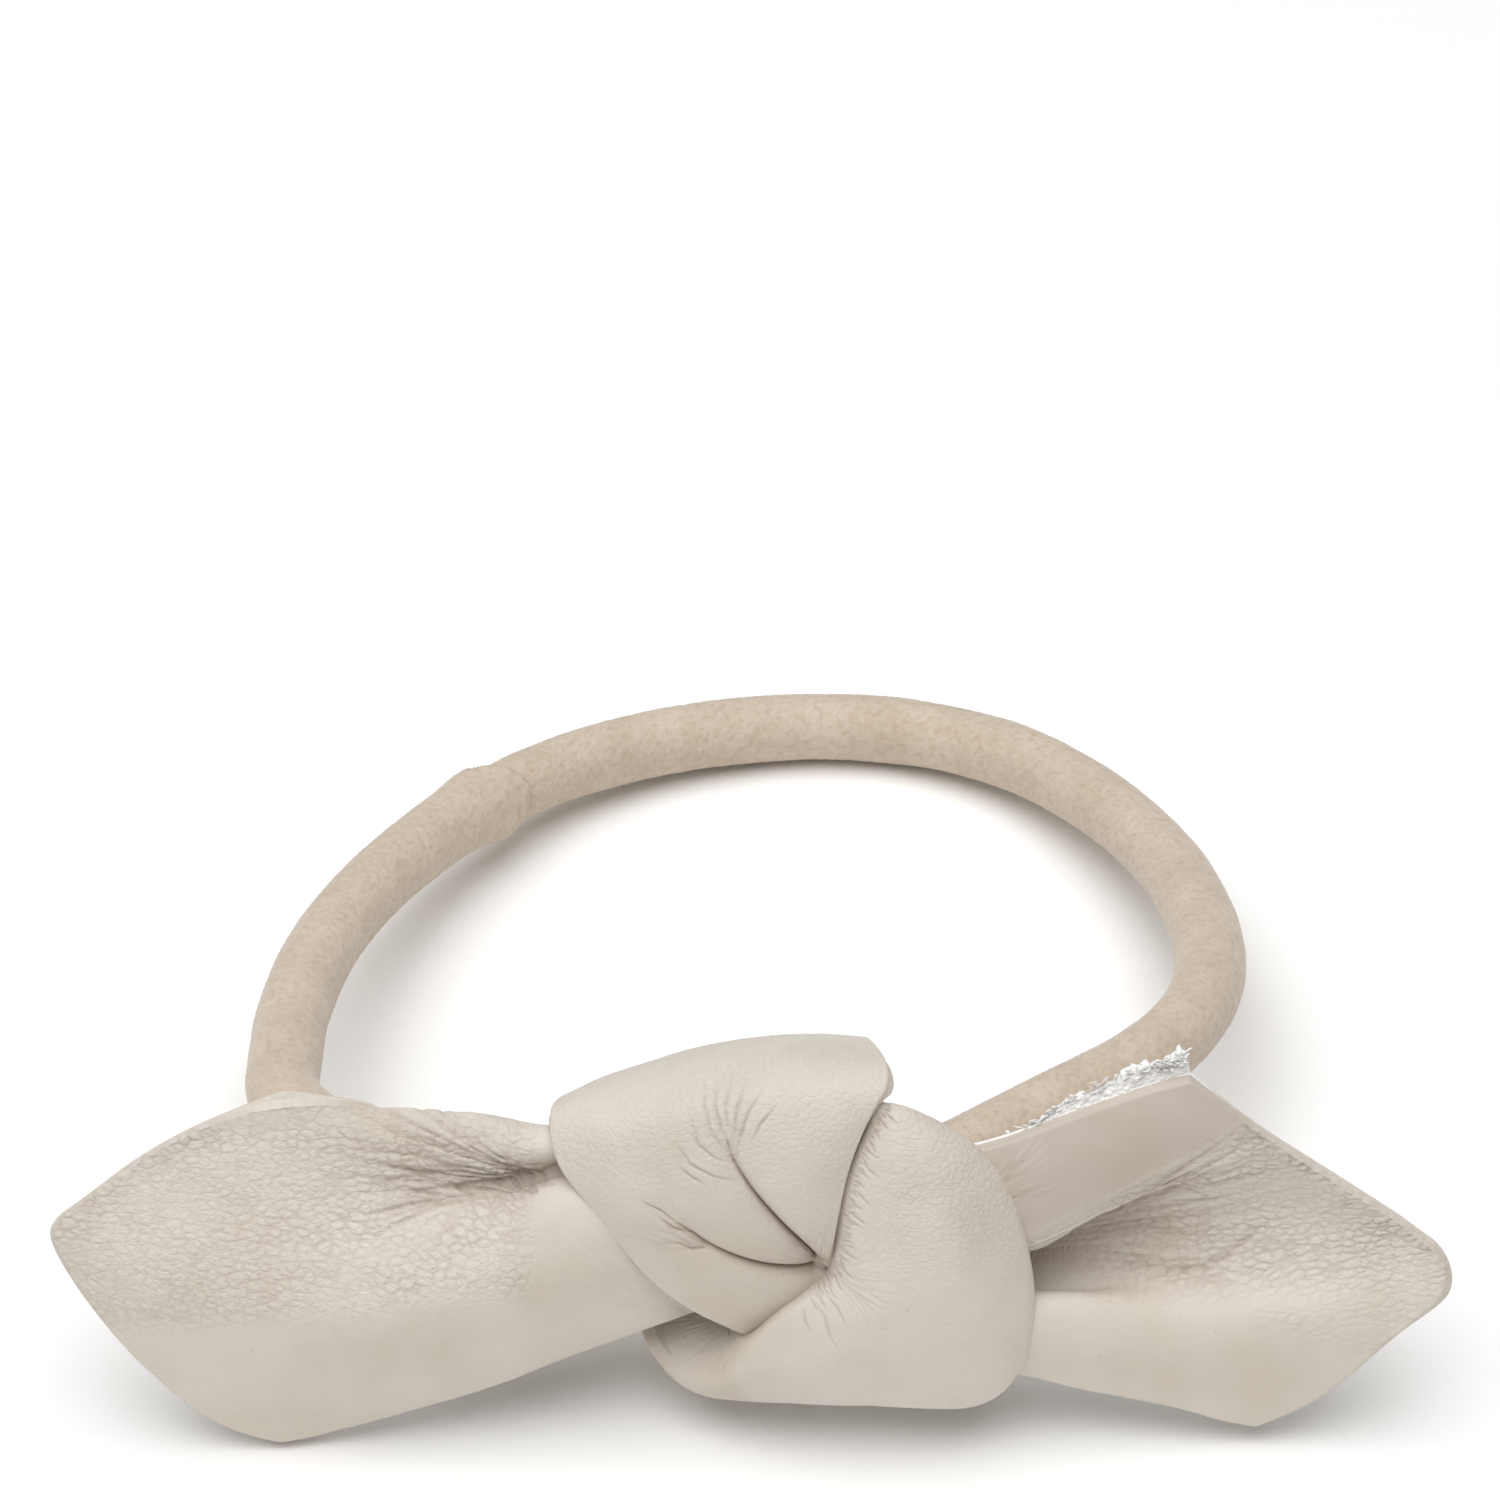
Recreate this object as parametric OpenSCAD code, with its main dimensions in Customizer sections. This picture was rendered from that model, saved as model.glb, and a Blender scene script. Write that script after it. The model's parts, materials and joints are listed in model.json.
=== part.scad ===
// Knotted hair elastic: a covered rubber loop with one strip of soft leather tied on it
// in a flat overhand knot. Millimetres, +Z up. The loop's back and the strip's lower
// edges rest on the plane z = 0, and the origin is under the middle of the whole object.
//
// The strip is one piece of leather. Here it is cut into the stretches it has in the
// knot, so that each one is a simple solid and the tails can bend.

/* [Elastic cord] */
// Diameter of the covered cord
cord_d = 4.5; // [3.8:0.1:5.4]
// Wall of the brushed sleeve
sleeve_wall = 0.65; // [0.4:0.05:0.9]
// Gap between neighbouring rubber strands
strand_gap = 0.04; // [0.02:0.01:0.1]
// Gap between the strand bundle and the sleeve
bundle_gap = 0.06; // [0.02:0.01:0.2]
// Length of the glue plug that joins the strand ends
splice_len = 3; // [2:0.5:5]

/* [Loop outline] */
// Bend radius where the cord leaves the knot
front_bend_r = 8; // [6:0.5:10]
// Turn of the cord as it leaves the knot on the right
right_exit_turn = 44; // [35:1:48]
// Turn of the cord as it leaves the knot on the left
left_exit_turn = 36; // [28:1:40]
// Straight run from the knot to the right bend
right_run_len = 13.2; // [11:0.1:16]
// Straight run from the knot to the left bend
left_run_len = 4; // [3:0.1:5]
// Radius of the right bend
right_bend_r = 22.5; // [18.5:0.5:27]
// Radius of the right shoulder
right_shoulder_r = 41; // [34.5:0.1:49.5]
// Radius at the back, right half
back_right_r = 19; // [15.5:0.5:23]
// Radius at the back, left half
back_left_r = 28; // [23:0.5:34]
// Radius of the left shoulder
left_shoulder_r = 54; // [45:0.5:60]
// Radius of the left bend
left_bend_r = 9.5; // [7.5:0.5:11.5]

/* [Leather strip] */
// Thickness of the leather
leather_t = 1; // [0.7:0.1:1.3]
// Span of the bow from tip to tip
bow_span = 82; // [68:1:99]
// Width of the strip as it lies in the tails
tail_w = 21; // [17:0.5:25.5]
// Width of the knot
knot_w = 28; // [23:0.5:34]
// Height of the knot
knot_h = 22.6; // [18.5:0.1:27.5]
// Depth of the wraps in front of the cord
knot_depth = 6; // [5:0.25:7.2]
// Lean of the bow back from upright, in degrees
bow_lean = 22; // [16:1:26]

/* [Fits] */
// Running clearance between the cord and the band behind it
cord_fit = 0.05; // [0.02:0.01:0.1]
// Gap between one stretch of the strip and the next where they lie on each other
layer_gap = 0.08; // [0.05:0.01:0.2]
// Gap across which a tail bends
flex_gap = 0.9; // [0.7:0.1:1.2]

/* [Hidden] */
$fn = 48;
STRETCHES = ["front", "right", "back", "left"];
STRANDS = 7;

SLEEVE_COLOUR = [0.80, 0.70, 0.58];
RUBBER_COLOUR = [0.93, 0.90, 0.82];
GLUE_COLOUR = [0.95, 0.88, 0.66];
LEATHER_COLOUR = [0.88, 0.84, 0.78];

cord_r = cord_d / 2;
sleeve_bore_r = cord_r - sleeve_wall;
// Six strands lie round the seventh: centre strand, gap, outer strand, gap to the sleeve
strand_r = (sleeve_bore_r - bundle_gap - strand_gap) / 3;
strand_pitch = 2 * strand_r + strand_gap;

// ---- Loop: a chain of left turns and straight runs, each [radius, turn] or [0, length]

back_right_turn = 52;
back_left_turn = 52;
right_bend_turn = 90 - right_exit_turn;
right_shoulder_turn = 180 - 90 - back_right_turn;
left_shoulder_turn = 90 - back_left_turn;
left_bend_turn = 90 - left_exit_turn;
// The splice sits this far round the back left arc
splice_at = 24;
splice_turn = splice_len / back_left_r * 180 / PI;

// How far an arc of radius 1 carries the cord, from one heading to another
function arc_x(from, turn) = sin(from + turn) - sin(from);
function arc_y(from, turn) = cos(from) - cos(from + turn);

// The two runs that close the loop: the one through the knot and the one on the left
front_run_len = -(
    front_bend_r * (arc_x(0, right_exit_turn) + arc_x(-left_exit_turn, left_exit_turn))
    + right_run_len * cos(right_exit_turn)
    + right_bend_r * arc_x(right_exit_turn, right_bend_turn)
    + right_shoulder_r * arc_x(90, right_shoulder_turn)
    + back_right_r * arc_x(180 - back_right_turn, back_right_turn)
    + back_left_r * arc_x(180, back_left_turn)
    + left_shoulder_r * arc_x(180 + back_left_turn, left_shoulder_turn)
    + left_bend_r * arc_x(270, left_bend_turn)
    + left_run_len * cos(left_exit_turn)
);
loop_depth = front_bend_r * arc_y(0, right_exit_turn)
    + right_run_len * sin(right_exit_turn)
    + right_bend_r * arc_y(right_exit_turn, right_bend_turn)
    + right_shoulder_r * arc_y(90, right_shoulder_turn)
    + back_right_r * arc_y(180 - back_right_turn, back_right_turn);
left_side_len = loop_depth
    + back_left_r * arc_y(180, back_left_turn)
    + left_shoulder_r * arc_y(180 + back_left_turn, left_shoulder_turn)
    + left_bend_r * arc_y(270, left_bend_turn)
    - left_run_len * sin(left_exit_turn)
    + front_bend_r * arc_y(-left_exit_turn, left_exit_turn);

// The straight run through the knot starts here, so that it ends just past the back band
band_half = 0.25 * knot_w;
front_start_x = band_half - front_run_len;

FRONT = [[front_bend_r, left_exit_turn], [0, front_run_len], [front_bend_r, right_exit_turn]];
RIGHT = [[0, right_run_len], [right_bend_r, right_bend_turn]];
BACK_1 = [[right_shoulder_r, right_shoulder_turn], [back_right_r, back_right_turn],
          [back_left_r, splice_at]];
SPLICE = [[back_left_r, splice_turn]];
BACK_2 = [[back_left_r, back_left_turn - splice_at - splice_turn],
          [left_shoulder_r, left_shoulder_turn]];
LEFT = [[0, left_side_len], [left_bend_r, left_bend_turn], [0, left_run_len]];

// A pose on the loop is [x, y, heading]; step carries it over one piece of the chain
function step(p, piece) = piece[0] == 0
    ? [p[0] + piece[1] * cos(p[2]), p[1] + piece[1] * sin(p[2]), p[2]]
    : [p[0] + piece[0] * arc_x(p[2], piece[1]), p[1] + piece[0] * arc_y(p[2], piece[1]),
       p[2] + piece[1]];
function walk(p, chain, i = 0) = i >= len(chain) ? p : walk(step(p, chain[i]), chain, i + 1);

front_pose = [
    front_start_x - front_bend_r * arc_x(-left_exit_turn, left_exit_turn),
    -front_bend_r * arc_y(-left_exit_turn, left_exit_turn),
    -left_exit_turn
];
right_pose = walk(front_pose, FRONT);
back_pose = walk(right_pose, RIGHT);
splice_pose = walk(back_pose, BACK_1);
back_2_pose = walk(splice_pose, SPLICE);
left_pose = walk(back_2_pose, BACK_2);

// Every other piece of a chain is slimmer by this much and laps into its neighbours, so
// that the pieces weld cleanly into one solid
WELD_SLIM = 0.003;
WELD_LAP = 0.03;

// Sweeps the 2-D children along a chain; x is outward from the loop, y is up
module sweep_chain(p, chain, i = 0) {
    if (i < len(chain)) {
        piece = chain[i];
        slim = i % 2 == 1;
        before = slim ? WELD_LAP : 0;
        after = slim && i < len(chain) - 1 ? WELD_LAP : 0;
        translate([p[0], p[1], 0]) rotate([0, 0, p[2]])
            sweep_piece(piece, before, after, $slim = slim ? WELD_SLIM : 0) children();
        sweep_chain(step(p, piece), chain, i + 1) children();
    }
}

module sweep_piece(piece, before, after) {
    lap = piece[0] == 0 ? before + after : (before + after) / piece[0] * 180 / PI;
    if (piece[0] == 0)
        translate([-before, 0, 0]) rotate([90, 0, 90])
            linear_extrude(piece[1] + lap) mirror([1, 0, 0]) children();
    else
        translate([0, piece[0], 0]) rotate([0, 0, -90 - before / piece[0] * 180 / PI])
            rotate_extrude(angle = piece[1] + lap, $fn = 96)
                translate([piece[0], 0]) children();
}

module sleeve_section() {
    difference() {
        circle(cord_r - $slim);
        circle(sleeve_bore_r + $slim);
    }
}

module strand_section(i) {
    turn = 60 * i;
    reach = i == STRANDS ? 0 : strand_pitch;
    translate([reach * cos(turn), reach * sin(turn)]) circle(strand_r - $slim, $fn = 24);
}

// ---- Bow frame: x to the right, y up the face of the bow, z out of its face

// Outlines are drawn for a knot 28 wide and 22.6 high with wraps 6 deep, and stretched
KNOT_DRAWN = [28, 22.6, 6];
kx = knot_w / KNOT_DRAWN[0];
ky = knot_h / KNOT_DRAWN[1];
kz = knot_depth / KNOT_DRAWN[2];
front_of_cord = cord_r + cord_fit;

// Heights of the two wraps in front, and how round their edges are
wrap_low = front_of_cord + 0.45 * knot_depth;
wrap_high = front_of_cord + knot_depth;
turn_high = wrap_high - 0.3;
wrap_edge = 0.24 * knot_depth;

// The turning wrap's way down the right side and along the bottom, as [x, y, half width]
TURN_STATIONS = [[10, 3.1, 2.4], [12.5, -1.4, 3.4], [12.2, -8, 4], [0.8, -9.8, 2.2]];

// Places where the tails leave the knot
left_exit_x = -11.4 * kx;
right_exit_x = 16.6 * kx;

// Tail nets: rows run from the knot to the cut end, columns from the upper edge to the
// lower. Each point is [share of the tail's length, share of its width, height].
TAIL_LEFT = [
    [[0, 0.20, 2.6], [0, 0.05, 4.6], [0, -0.13, 5.4], [0, -0.30, 5.8], [0, -0.47, 4.6]],
    [[0.18, 0.27, 2.2], [0.18, 0.07, 4.8], [0.18, -0.14, 5.8], [0.18, -0.36, 6.2],
     [0.17, -0.58, 4.8]],
    [[0.41, 0.29, 1.8], [0.44, 0.08, 4.6], [0.46, -0.16, 5.8], [0.44, -0.41, 6.0],
     [0.41, -0.67, 4.6]],
    [[0.60, 0.28, 1.6], [0.83, 0.11, 3.4], [1.00, -0.10, 4.2], [0.88, -0.41, 4.6],
     [0.58, -0.72, 4.0]]
];
TAIL_RIGHT = [
    [[0, 0.20, 5.0], [0, 0.02, 3.4], [0, -0.16, 2.6], [0, -0.27, 4.8], [0, -0.40, 6.2],
     [0, -0.53, 5.4]],
    [[0.20, 0.31, 4.6], [0.20, 0.09, 3.0], [0.20, -0.13, 2.4], [0.20, -0.27, 4.4],
     [0.20, -0.43, 5.8], [0.20, -0.60, 5.0]],
    [[0.31, 0.34, 4.2], [0.45, 0.10, 2.9], [0.57, -0.12, 2.6], [0.61, -0.26, 3.9],
     [0.53, -0.45, 4.9], [0.38, -0.64, 4.6]],
    [[0.41, 0.36, 3.8], [0.66, 0.10, 3.0], [0.92, -0.11, 3.4], [1.00, -0.25, 3.8],
     [0.83, -0.46, 4.3], [0.52, -0.68, 4.2]]
];
left_root_x = left_exit_x - flex_gap;
right_root_x = right_exit_x + flex_gap;
left_tail_len = bow_span / 2 + left_root_x;
right_tail_len = bow_span / 2 - right_root_x;

function net_mm(net, root_x, reach) = [
    for (row = net) [for (p = row) [root_x + reach * p[0], tail_w * p[1], p[2] * kz]]
];

// Catmull-Rom through four points
function spline(a, b, c, d, t) = 0.5 * (2 * b + (c - a) * t
    + (2 * a - 5 * b + 4 * c - d) * t * t + (3 * b - a - 3 * c + d) * t * t * t);
function fine_line(line, n) = [
    for (i = [0:len(line) - 2]) for (k = [0:n - 1])
        spline(i == 0 ? 2 * line[0] - line[1] : line[i - 1], line[i], line[i + 1],
               i + 2 < len(line) ? line[i + 2] : 2 * line[i + 1] - line[i], k / n),
    line[len(line) - 1]
];
function turned(grid) = [for (j = [0:len(grid[0]) - 1]) [for (row = grid) row[j]]];
function fine_grid(net, n) =
    turned([for (line = turned([for (row = net) fine_line(row, n)])) fine_line(line, n)]);

function unit(v) = v / norm(v);
function normal_at(g, i, j, side) = side * unit(cross(
    g[min(i + 1, len(g) - 1)][j] - g[max(i - 1, 0)][j],
    g[i][min(j + 1, len(g[0]) - 1)] - g[i][max(j - 1, 0)]));
// The face of the sheet away from the viewer, one leather thickness behind the grid
function back_face(g, side) = [
    for (i = [0:len(g) - 1]) [for (j = [0:len(g[0]) - 1])
        g[i][j] - leather_t * normal_at(g, i, j, side)]
];

TAIL_FINE = 3;
left_grid = fine_grid(net_mm(TAIL_LEFT, left_root_x, -left_tail_len), TAIL_FINE);
right_grid = fine_grid(net_mm(TAIL_RIGHT, right_root_x, right_tail_len), TAIL_FINE);
left_back = back_face(left_grid, 1);
right_back = back_face(right_grid, -1);

// A sheet solid between two grids of points; flip turns its faces the other way round
module sheet(front, back, flip) {
    rows = len(front);
    cols = len(front[0]);
    half = rows * cols;
    points = concat([for (row = front) each row], [for (row = back) each row]);
    function ways(face) = flip ? [for (k = [len(face) - 1:-1:0]) face[k]] : face;
    function two(a, b, c, d) = [ways([a, b, c]), ways([a, c, d])];
    faces = concat(
        [for (i = [0:rows - 2]) for (j = [0:cols - 2])
            let (a = i * cols + j) each two(a, a + cols, a + cols + 1, a + 1)],
        [for (i = [0:rows - 2]) for (j = [0:cols - 2])
            let (a = half + i * cols + j) each two(a, a + 1, a + cols + 1, a + cols)],
        [for (i = [0:rows - 2]) for (j = [0, cols - 1])
            let (a = i * cols + j, b = a + cols)
                each j == 0 ? two(a, half + a, half + b, b) : two(a, b, half + b, half + a)],
        [for (j = [0:cols - 2]) for (i = [0, rows - 1])
            let (a = i * cols + j, b = a + 1)
                each i == 0 ? two(a, b, half + b, half + a) : two(a, half + a, half + b, b)]
    );
    polyhedron(points = points, faces = faces);
}

// ---- Where the whole thing stands

function up_of(p) = p[1] * cos(bow_lean) + p[2] * sin(bow_lean);
function ahead_of(p) = p[2] * cos(bow_lean) - p[1] * sin(bow_lean);
bow_points = concat(
    [for (g = [left_grid, left_back, right_grid, right_back]) for (row = g) each row],
    [for (s = TURN_STATIONS) [s[0] * kx, s[1] * ky - s[2] * kx + wrap_edge, turn_high]]
);
axis_z = -min([for (p = bow_points) up_of(p)]);
loop_tilt = asin((axis_z - cord_r) / loop_depth);
back_y = loop_depth * cos(loop_tilt) + cord_r;
front_y = -max([for (p = bow_points) ahead_of(p)]);
axis_y = -(back_y + front_y) / 2;

module on_loop() {
    translate([0, axis_y, axis_z]) rotate([-loop_tilt, 0, 0]) children();
}

module on_bow() {
    translate([0, axis_y, axis_z]) rotate([90 - bow_lean, 0, 0]) children();
}

// ---- Elastic loop

module sleeve(pose, chain) {
    color(SLEEVE_COLOUR) on_loop() sweep_chain(pose, chain) sleeve_section();
}

module strand(i, pose, chain) {
    color(RUBBER_COLOUR) on_loop() sweep_chain(pose, chain) strand_section(i);
}

module strand_in(i, where) {
    if (where == "front") strand(i, front_pose, FRONT);
    if (where == "right") strand(i, right_pose, RIGHT);
    if (where == "left") strand(i, left_pose, LEFT);
    if (where == "back") {
        strand(i, back_pose, BACK_1);
        strand(i, back_2_pose, BACK_2);
    }
}

module splice_glue() {
    color(GLUE_COLOUR) on_loop() sweep_chain(splice_pose, SPLICE)
        circle(sleeve_bore_r - bundle_gap);
}

// ---- Knot

// A rounded pad over a list of [x, y] outline points, between two heights
module pad(outline, low, high, edge_r) {
    hull() for (p = outline, z = [low + edge_r, high - edge_r])
        translate([p[0] * kx, p[1] * ky, z]) sphere(edge_r, $fn = 20);
}

// A rounded bar that runs through [x, y, half width] stations, between two heights
module bar(stations, low, high, edge_r) {
    for (i = [0:len(stations) - 2])
        hull() for (s = [stations[i], stations[i + 1]]) translate([s[0] * kx, s[1] * ky, low]) {
            translate([0, 0, edge_r]) cylinder(high - low - 2 * edge_r, r = s[2] * kx, $fn = 32);
            cylinder(high - low, r = s[2] * kx - edge_r, $fn = 32);
        }
}

module over_wrap() {
    color(LEATHER_COLOUR) on_bow()
        pad([[-10, 5.2], [-6.5, 6.6], [-2, 8.1], [2, 8.5], [6, 8.6], [6.4, 6.8], [4.2, -0.6],
             [3, -3.6], [-0.3, -5.8], [-3.8, -4.2], [-7, -0.8], [-9.3, 3]],
            wrap_low, wrap_high, wrap_edge);
}

module turn_wrap() {
    color(LEATHER_COLOUR) on_bow() bar(TURN_STATIONS, wrap_low, turn_high, wrap_edge);
}

// The two runs of the strip that cross inside the knot, between the cord and the wraps
run_high = wrap_low - layer_gap;
run_low = front_of_cord + layer_gap;
run_edge = (run_high - run_low) / 2;
run_reach = run_edge / kx;

module left_run() {
    end = -11.4 + run_reach;
    color(LEATHER_COLOUR) on_bow()
        pad([[end, 3.2], [end, -8.6], [-6.4, -6.4], [1, -2], [4.4, 4.6]],
            run_low, run_high, run_edge);
}

module right_run() {
    end = 16.6 - run_reach;
    color(LEATHER_COLOUR) on_bow()
        pad([[5.4, -4.4], [end, 3], [end, -9.6]], run_low, run_high, run_edge);
}

// The band behind the cord. It holds the cord on three sides, and its arms come forward
// over the top and under the bottom of the runs to meet the wraps.
module band_profile() {
    band_r = front_of_cord + leather_t;
    arm_front = 0.4 * front_of_cord;
    top_in = 7.2 * ky;
    top_out = 9.4 * ky;
    bottom_in = 8.8 * ky;
    bottom_out = 11.2 * ky;
    difference() {
        polygon([
            [-band_r, -band_r], [band_r, -band_r], [top_out, arm_front], [top_out, run_high],
            [top_in, run_high], [top_in - leather_t, arm_front],
            [leather_t - bottom_in, arm_front], [-bottom_in, run_high],
            [-bottom_out, run_high], [-bottom_out, arm_front]
        ]);
        circle(front_of_cord, $fn = 96);
    }
}

module back_band() {
    color(LEATHER_COLOUR) on_bow() translate([-band_half, 0, 0])
        rotate([90, 0, 90]) linear_extrude(2 * band_half) band_profile();
}

// ---- Tails

module tail_left() {
    color(LEATHER_COLOUR) on_bow() sheet(left_grid, left_back, true);
}

module tail_right() {
    color(LEATHER_COLOUR) on_bow() sheet(right_grid, right_back, false);
}

sleeve(front_pose, FRONT);  // sleeve_front
sleeve(right_pose, RIGHT);  // sleeve_right
sleeve(back_pose, concat(BACK_1, SPLICE, BACK_2));  // sleeve_back
sleeve(left_pose, LEFT);  // sleeve_left
for (where = STRETCHES) for (i = [1:STRANDS])
    strand_in(i, where);
splice_glue();
back_band();
left_run();
right_run();
over_wrap();
turn_wrap();
tail_left();
tail_right();
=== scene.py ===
# %% [markdown]
# # A ponytail elastic with a knotted leather strip
#
# The object is small: a brushed elastic loop about 6 cm across, and one strip of cream
# nappa leather tied on it in a flat overhand knot. The two pointed ends spread like a bow.
#
# The CAD model fixes where everything is, how big it is and what moves. Here we make it
# look like leather and brushed knit. We start by loading that model.

# %% Load the frame
import json
import math
import bpy
import numpy as np
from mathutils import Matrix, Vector


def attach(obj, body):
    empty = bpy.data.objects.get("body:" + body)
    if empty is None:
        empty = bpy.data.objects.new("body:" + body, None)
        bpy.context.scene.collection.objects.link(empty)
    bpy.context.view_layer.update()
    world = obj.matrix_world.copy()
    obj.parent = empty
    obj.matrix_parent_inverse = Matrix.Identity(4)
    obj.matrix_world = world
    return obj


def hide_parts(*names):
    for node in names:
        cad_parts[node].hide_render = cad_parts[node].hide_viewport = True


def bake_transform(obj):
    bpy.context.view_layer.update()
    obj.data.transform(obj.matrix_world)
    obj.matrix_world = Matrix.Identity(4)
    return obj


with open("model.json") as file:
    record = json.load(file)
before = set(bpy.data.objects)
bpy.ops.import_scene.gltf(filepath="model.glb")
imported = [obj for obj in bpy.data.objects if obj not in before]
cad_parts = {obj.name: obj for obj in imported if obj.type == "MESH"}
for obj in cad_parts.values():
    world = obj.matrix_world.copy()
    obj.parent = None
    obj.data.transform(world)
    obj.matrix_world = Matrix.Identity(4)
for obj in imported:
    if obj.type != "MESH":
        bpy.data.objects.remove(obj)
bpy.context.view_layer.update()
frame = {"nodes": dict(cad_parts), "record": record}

# %% [markdown]
# ## Two working planes
#
# The leather was knotted flat and then leans back a little, and the loop slopes down to
# the table behind it. Both would be awkward to model in world axes. So we work in
# millimetres in two planes of our own:
#
# - the bow's plane, with a to the right, b up the face of the bow and h out of its face,
# - the loop's plane, with x to the right, y to the back and z up out of the loop.
#
# Both start on the cord's centre line inside the knot. Their directions are the axes of
# the joints, so they stay true if a joint of the model is turned.

# %% Planes from the joint axes
MM = 0.001
joints = {joint["name"]: joint for joint in frame["record"]["behaviour"]["joints"]}
RIGHT = np.array([1.0, 0.0, 0.0])
KNOT = np.array(joints["bow_turn"]["pos_m"]) / MM
BOW_UP = np.array(joints["tail_left_bend"]["axis"])
BOW_OUT = np.cross(RIGHT, BOW_UP)
LOOP_BACK = np.array(joints["loop_stretch"]["axis"])
LOOP_UP = np.cross(RIGHT, LOOP_BACK)


def from_bow(points):
    """Points (a, b, h) of the bow's plane, in millimetres, as metres in the frame."""
    p = np.asarray(points, float)
    return (KNOT + p[..., :1] * RIGHT + p[..., 1:2] * BOW_UP + p[..., 2:3] * BOW_OUT) * MM


def from_loop(points):
    """Points (x, y, z) of the loop's plane, in millimetres, as metres in the frame."""
    p = np.asarray(points, float)
    return (KNOT + p[..., :1] * RIGHT + p[..., 1:2] * LOOP_BACK + p[..., 2:3] * LOOP_UP) * MM


print("knot at", KNOT.round(2), "mm; the bow leans", round(math.degrees(math.asin(BOW_UP[1])), 1))

# %% [markdown]
# ## The camera
#
# A small product is shot from some way off with a long lens, looking down on it. We place
# the camera by its distance from the knot. Its lens follows from how wide the view should
# be there.

# %% Camera
VIEW_PITCH = 36
CAMERA_FROM_KNOT = (0, -254.4, 215.5)
LENS = 136.2
SENSOR = 36

camera_data = bpy.data.cameras.new("camera")
camera_data.lens = LENS
camera_data.sensor_width = SENSOR
camera = bpy.data.objects.new("camera", camera_data)
bpy.context.collection.objects.link(camera)
camera.location = (KNOT + CAMERA_FROM_KNOT) * MM
camera.rotation_euler = (math.radians(90 - VIEW_PITCH), 0, 0)
bpy.context.scene.camera = camera
print("camera at", [round(x, 3) for x in camera.location])

# %% [markdown]
# ## The path of the elastic
#
# The cord wants to be a circle, but the knot holds it straight in front and it has kept a
# lean from its packing. We draw its centre line as the CAD model does, from straight runs
# and arcs that meet smoothly. All turns together are one full turn, and two of the
# straight runs take whatever length closes the loop.

# %% Sizes of the cord and its arcs
CORD_R = 2.25
BORE_R = 1.6
POINT_SPACING = 0.17
KNOT_EXIT = 7.0
LEFT_RUN = 4.0
RIGHT_RUN = 13.2
FRONT_BEND_R = 8
RIGHT_BEND_R = 22.5
RIGHT_SHOULDER_R = 41
BACK_RIGHT_R = 19
BACK_LEFT_R = 28
LEFT_SHOULDER_R = 54
LEFT_BEND_R = 9.5


def arc(radius, turn):
    """An arc as (length, turn in degrees)."""
    return (radius * math.radians(turn), turn)


def loop_segments(left_side, front):
    """The loop once round, counter-clockwise from the knot's right side."""
    right = [arc(FRONT_BEND_R, 44), (RIGHT_RUN, 0), arc(RIGHT_BEND_R, 46), arc(RIGHT_SHOULDER_R, 38)]
    back = [arc(BACK_RIGHT_R, 52), arc(BACK_LEFT_R, 52)]
    left = [arc(LEFT_SHOULDER_R, 38), (left_side, 0), arc(LEFT_BEND_R, 54), (LEFT_RUN, 0)]
    return right + back + left + [arc(FRONT_BEND_R, 36), (front, 0)]


# %% Centre line of the cord
def walk(segments, start):
    """Points along segments of (length, turn), their headings, and where the walk ends."""
    points, headings = [], []
    at = np.array(start, float)
    heading = 0.0
    for length, turn in segments:
        count = max(2, round(length / POINT_SPACING))
        s = np.arange(count + 1) / count * length
        h = heading + math.radians(turn) * s / length
        if turn:
            radius = length / math.radians(turn)
            steps = radius * np.stack([np.sin(h) - math.sin(heading), math.cos(heading) - np.cos(h)], 1)
        else:
            steps = np.outer(s, (math.cos(heading), math.sin(heading)))
        points.append(at + steps[:-1])
        headings.append(h[:-1])
        at = at + steps[-1]
        heading = h[-1]
    return np.concatenate(points), np.concatenate(headings), at


# The loop is walked once with two trial lengths. How far it misses its start says how much
# longer the left side and the front have to be.
START = (KNOT_EXIT, 0)
left_side_length = 1.0
front_length = 1.0
overshoot = walk(loop_segments(left_side_length, front_length), START)[2] - START
left_side_length += overshoot[1]
front_length -= overshoot[0]
cord_points, cord_headings, cord_end = walk(loop_segments(left_side_length, front_length), START)
cord_steps = np.linalg.norm(np.roll(cord_points, -1, 0) - cord_points, axis=1)
cord_way = np.concatenate([[0], np.cumsum(cord_steps)[:-1]])
print("the cord is", round(float(cord_steps.sum()), 1), "mm round and closes to within",
      np.linalg.norm(cord_end - START).round(6))

# %% [markdown]
# ## Sweeping along it
#
# Everything in the cord follows the same line, so one function does the sleeve and the
# strands: it carries a ring of points, given as a distance out of the loop and a height,
# once round the loop and closes the skin.
#
# A curve object with a bevel would sweep a tube too, but its ring can't change along the
# way, and this sleeve needs a nap and a lap. So the meshes are made from their points.

# %% Sweep
def circle(count):
    """This many angles once round."""
    return np.arange(count) / count * 2 * math.pi


def swept(out, up):
    """At each point of the cord, a ring of points offset out of the loop and up."""
    side = np.stack([np.sin(cord_headings), -np.cos(cord_headings)], 1)
    flat = cord_points[:, None] + out[..., None] * side[:, None]
    return np.concatenate([flat, np.broadcast_to(up, out.shape)[..., None]], -1)


def closed_skin(grid, first=0, inward=False):
    """Quads of a grid that closes on itself both ways."""
    index = np.arange(grid.shape[0] * grid.shape[1]).reshape(grid.shape[:2]) + first
    right = np.roll(index, -1, 1)
    ahead = np.roll(index, -1, 0)
    quads = np.stack([index, right, np.roll(right, -1, 0), ahead], -1).reshape(-1, 4)
    return quads[:, ::-1] if inward else quads


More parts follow.
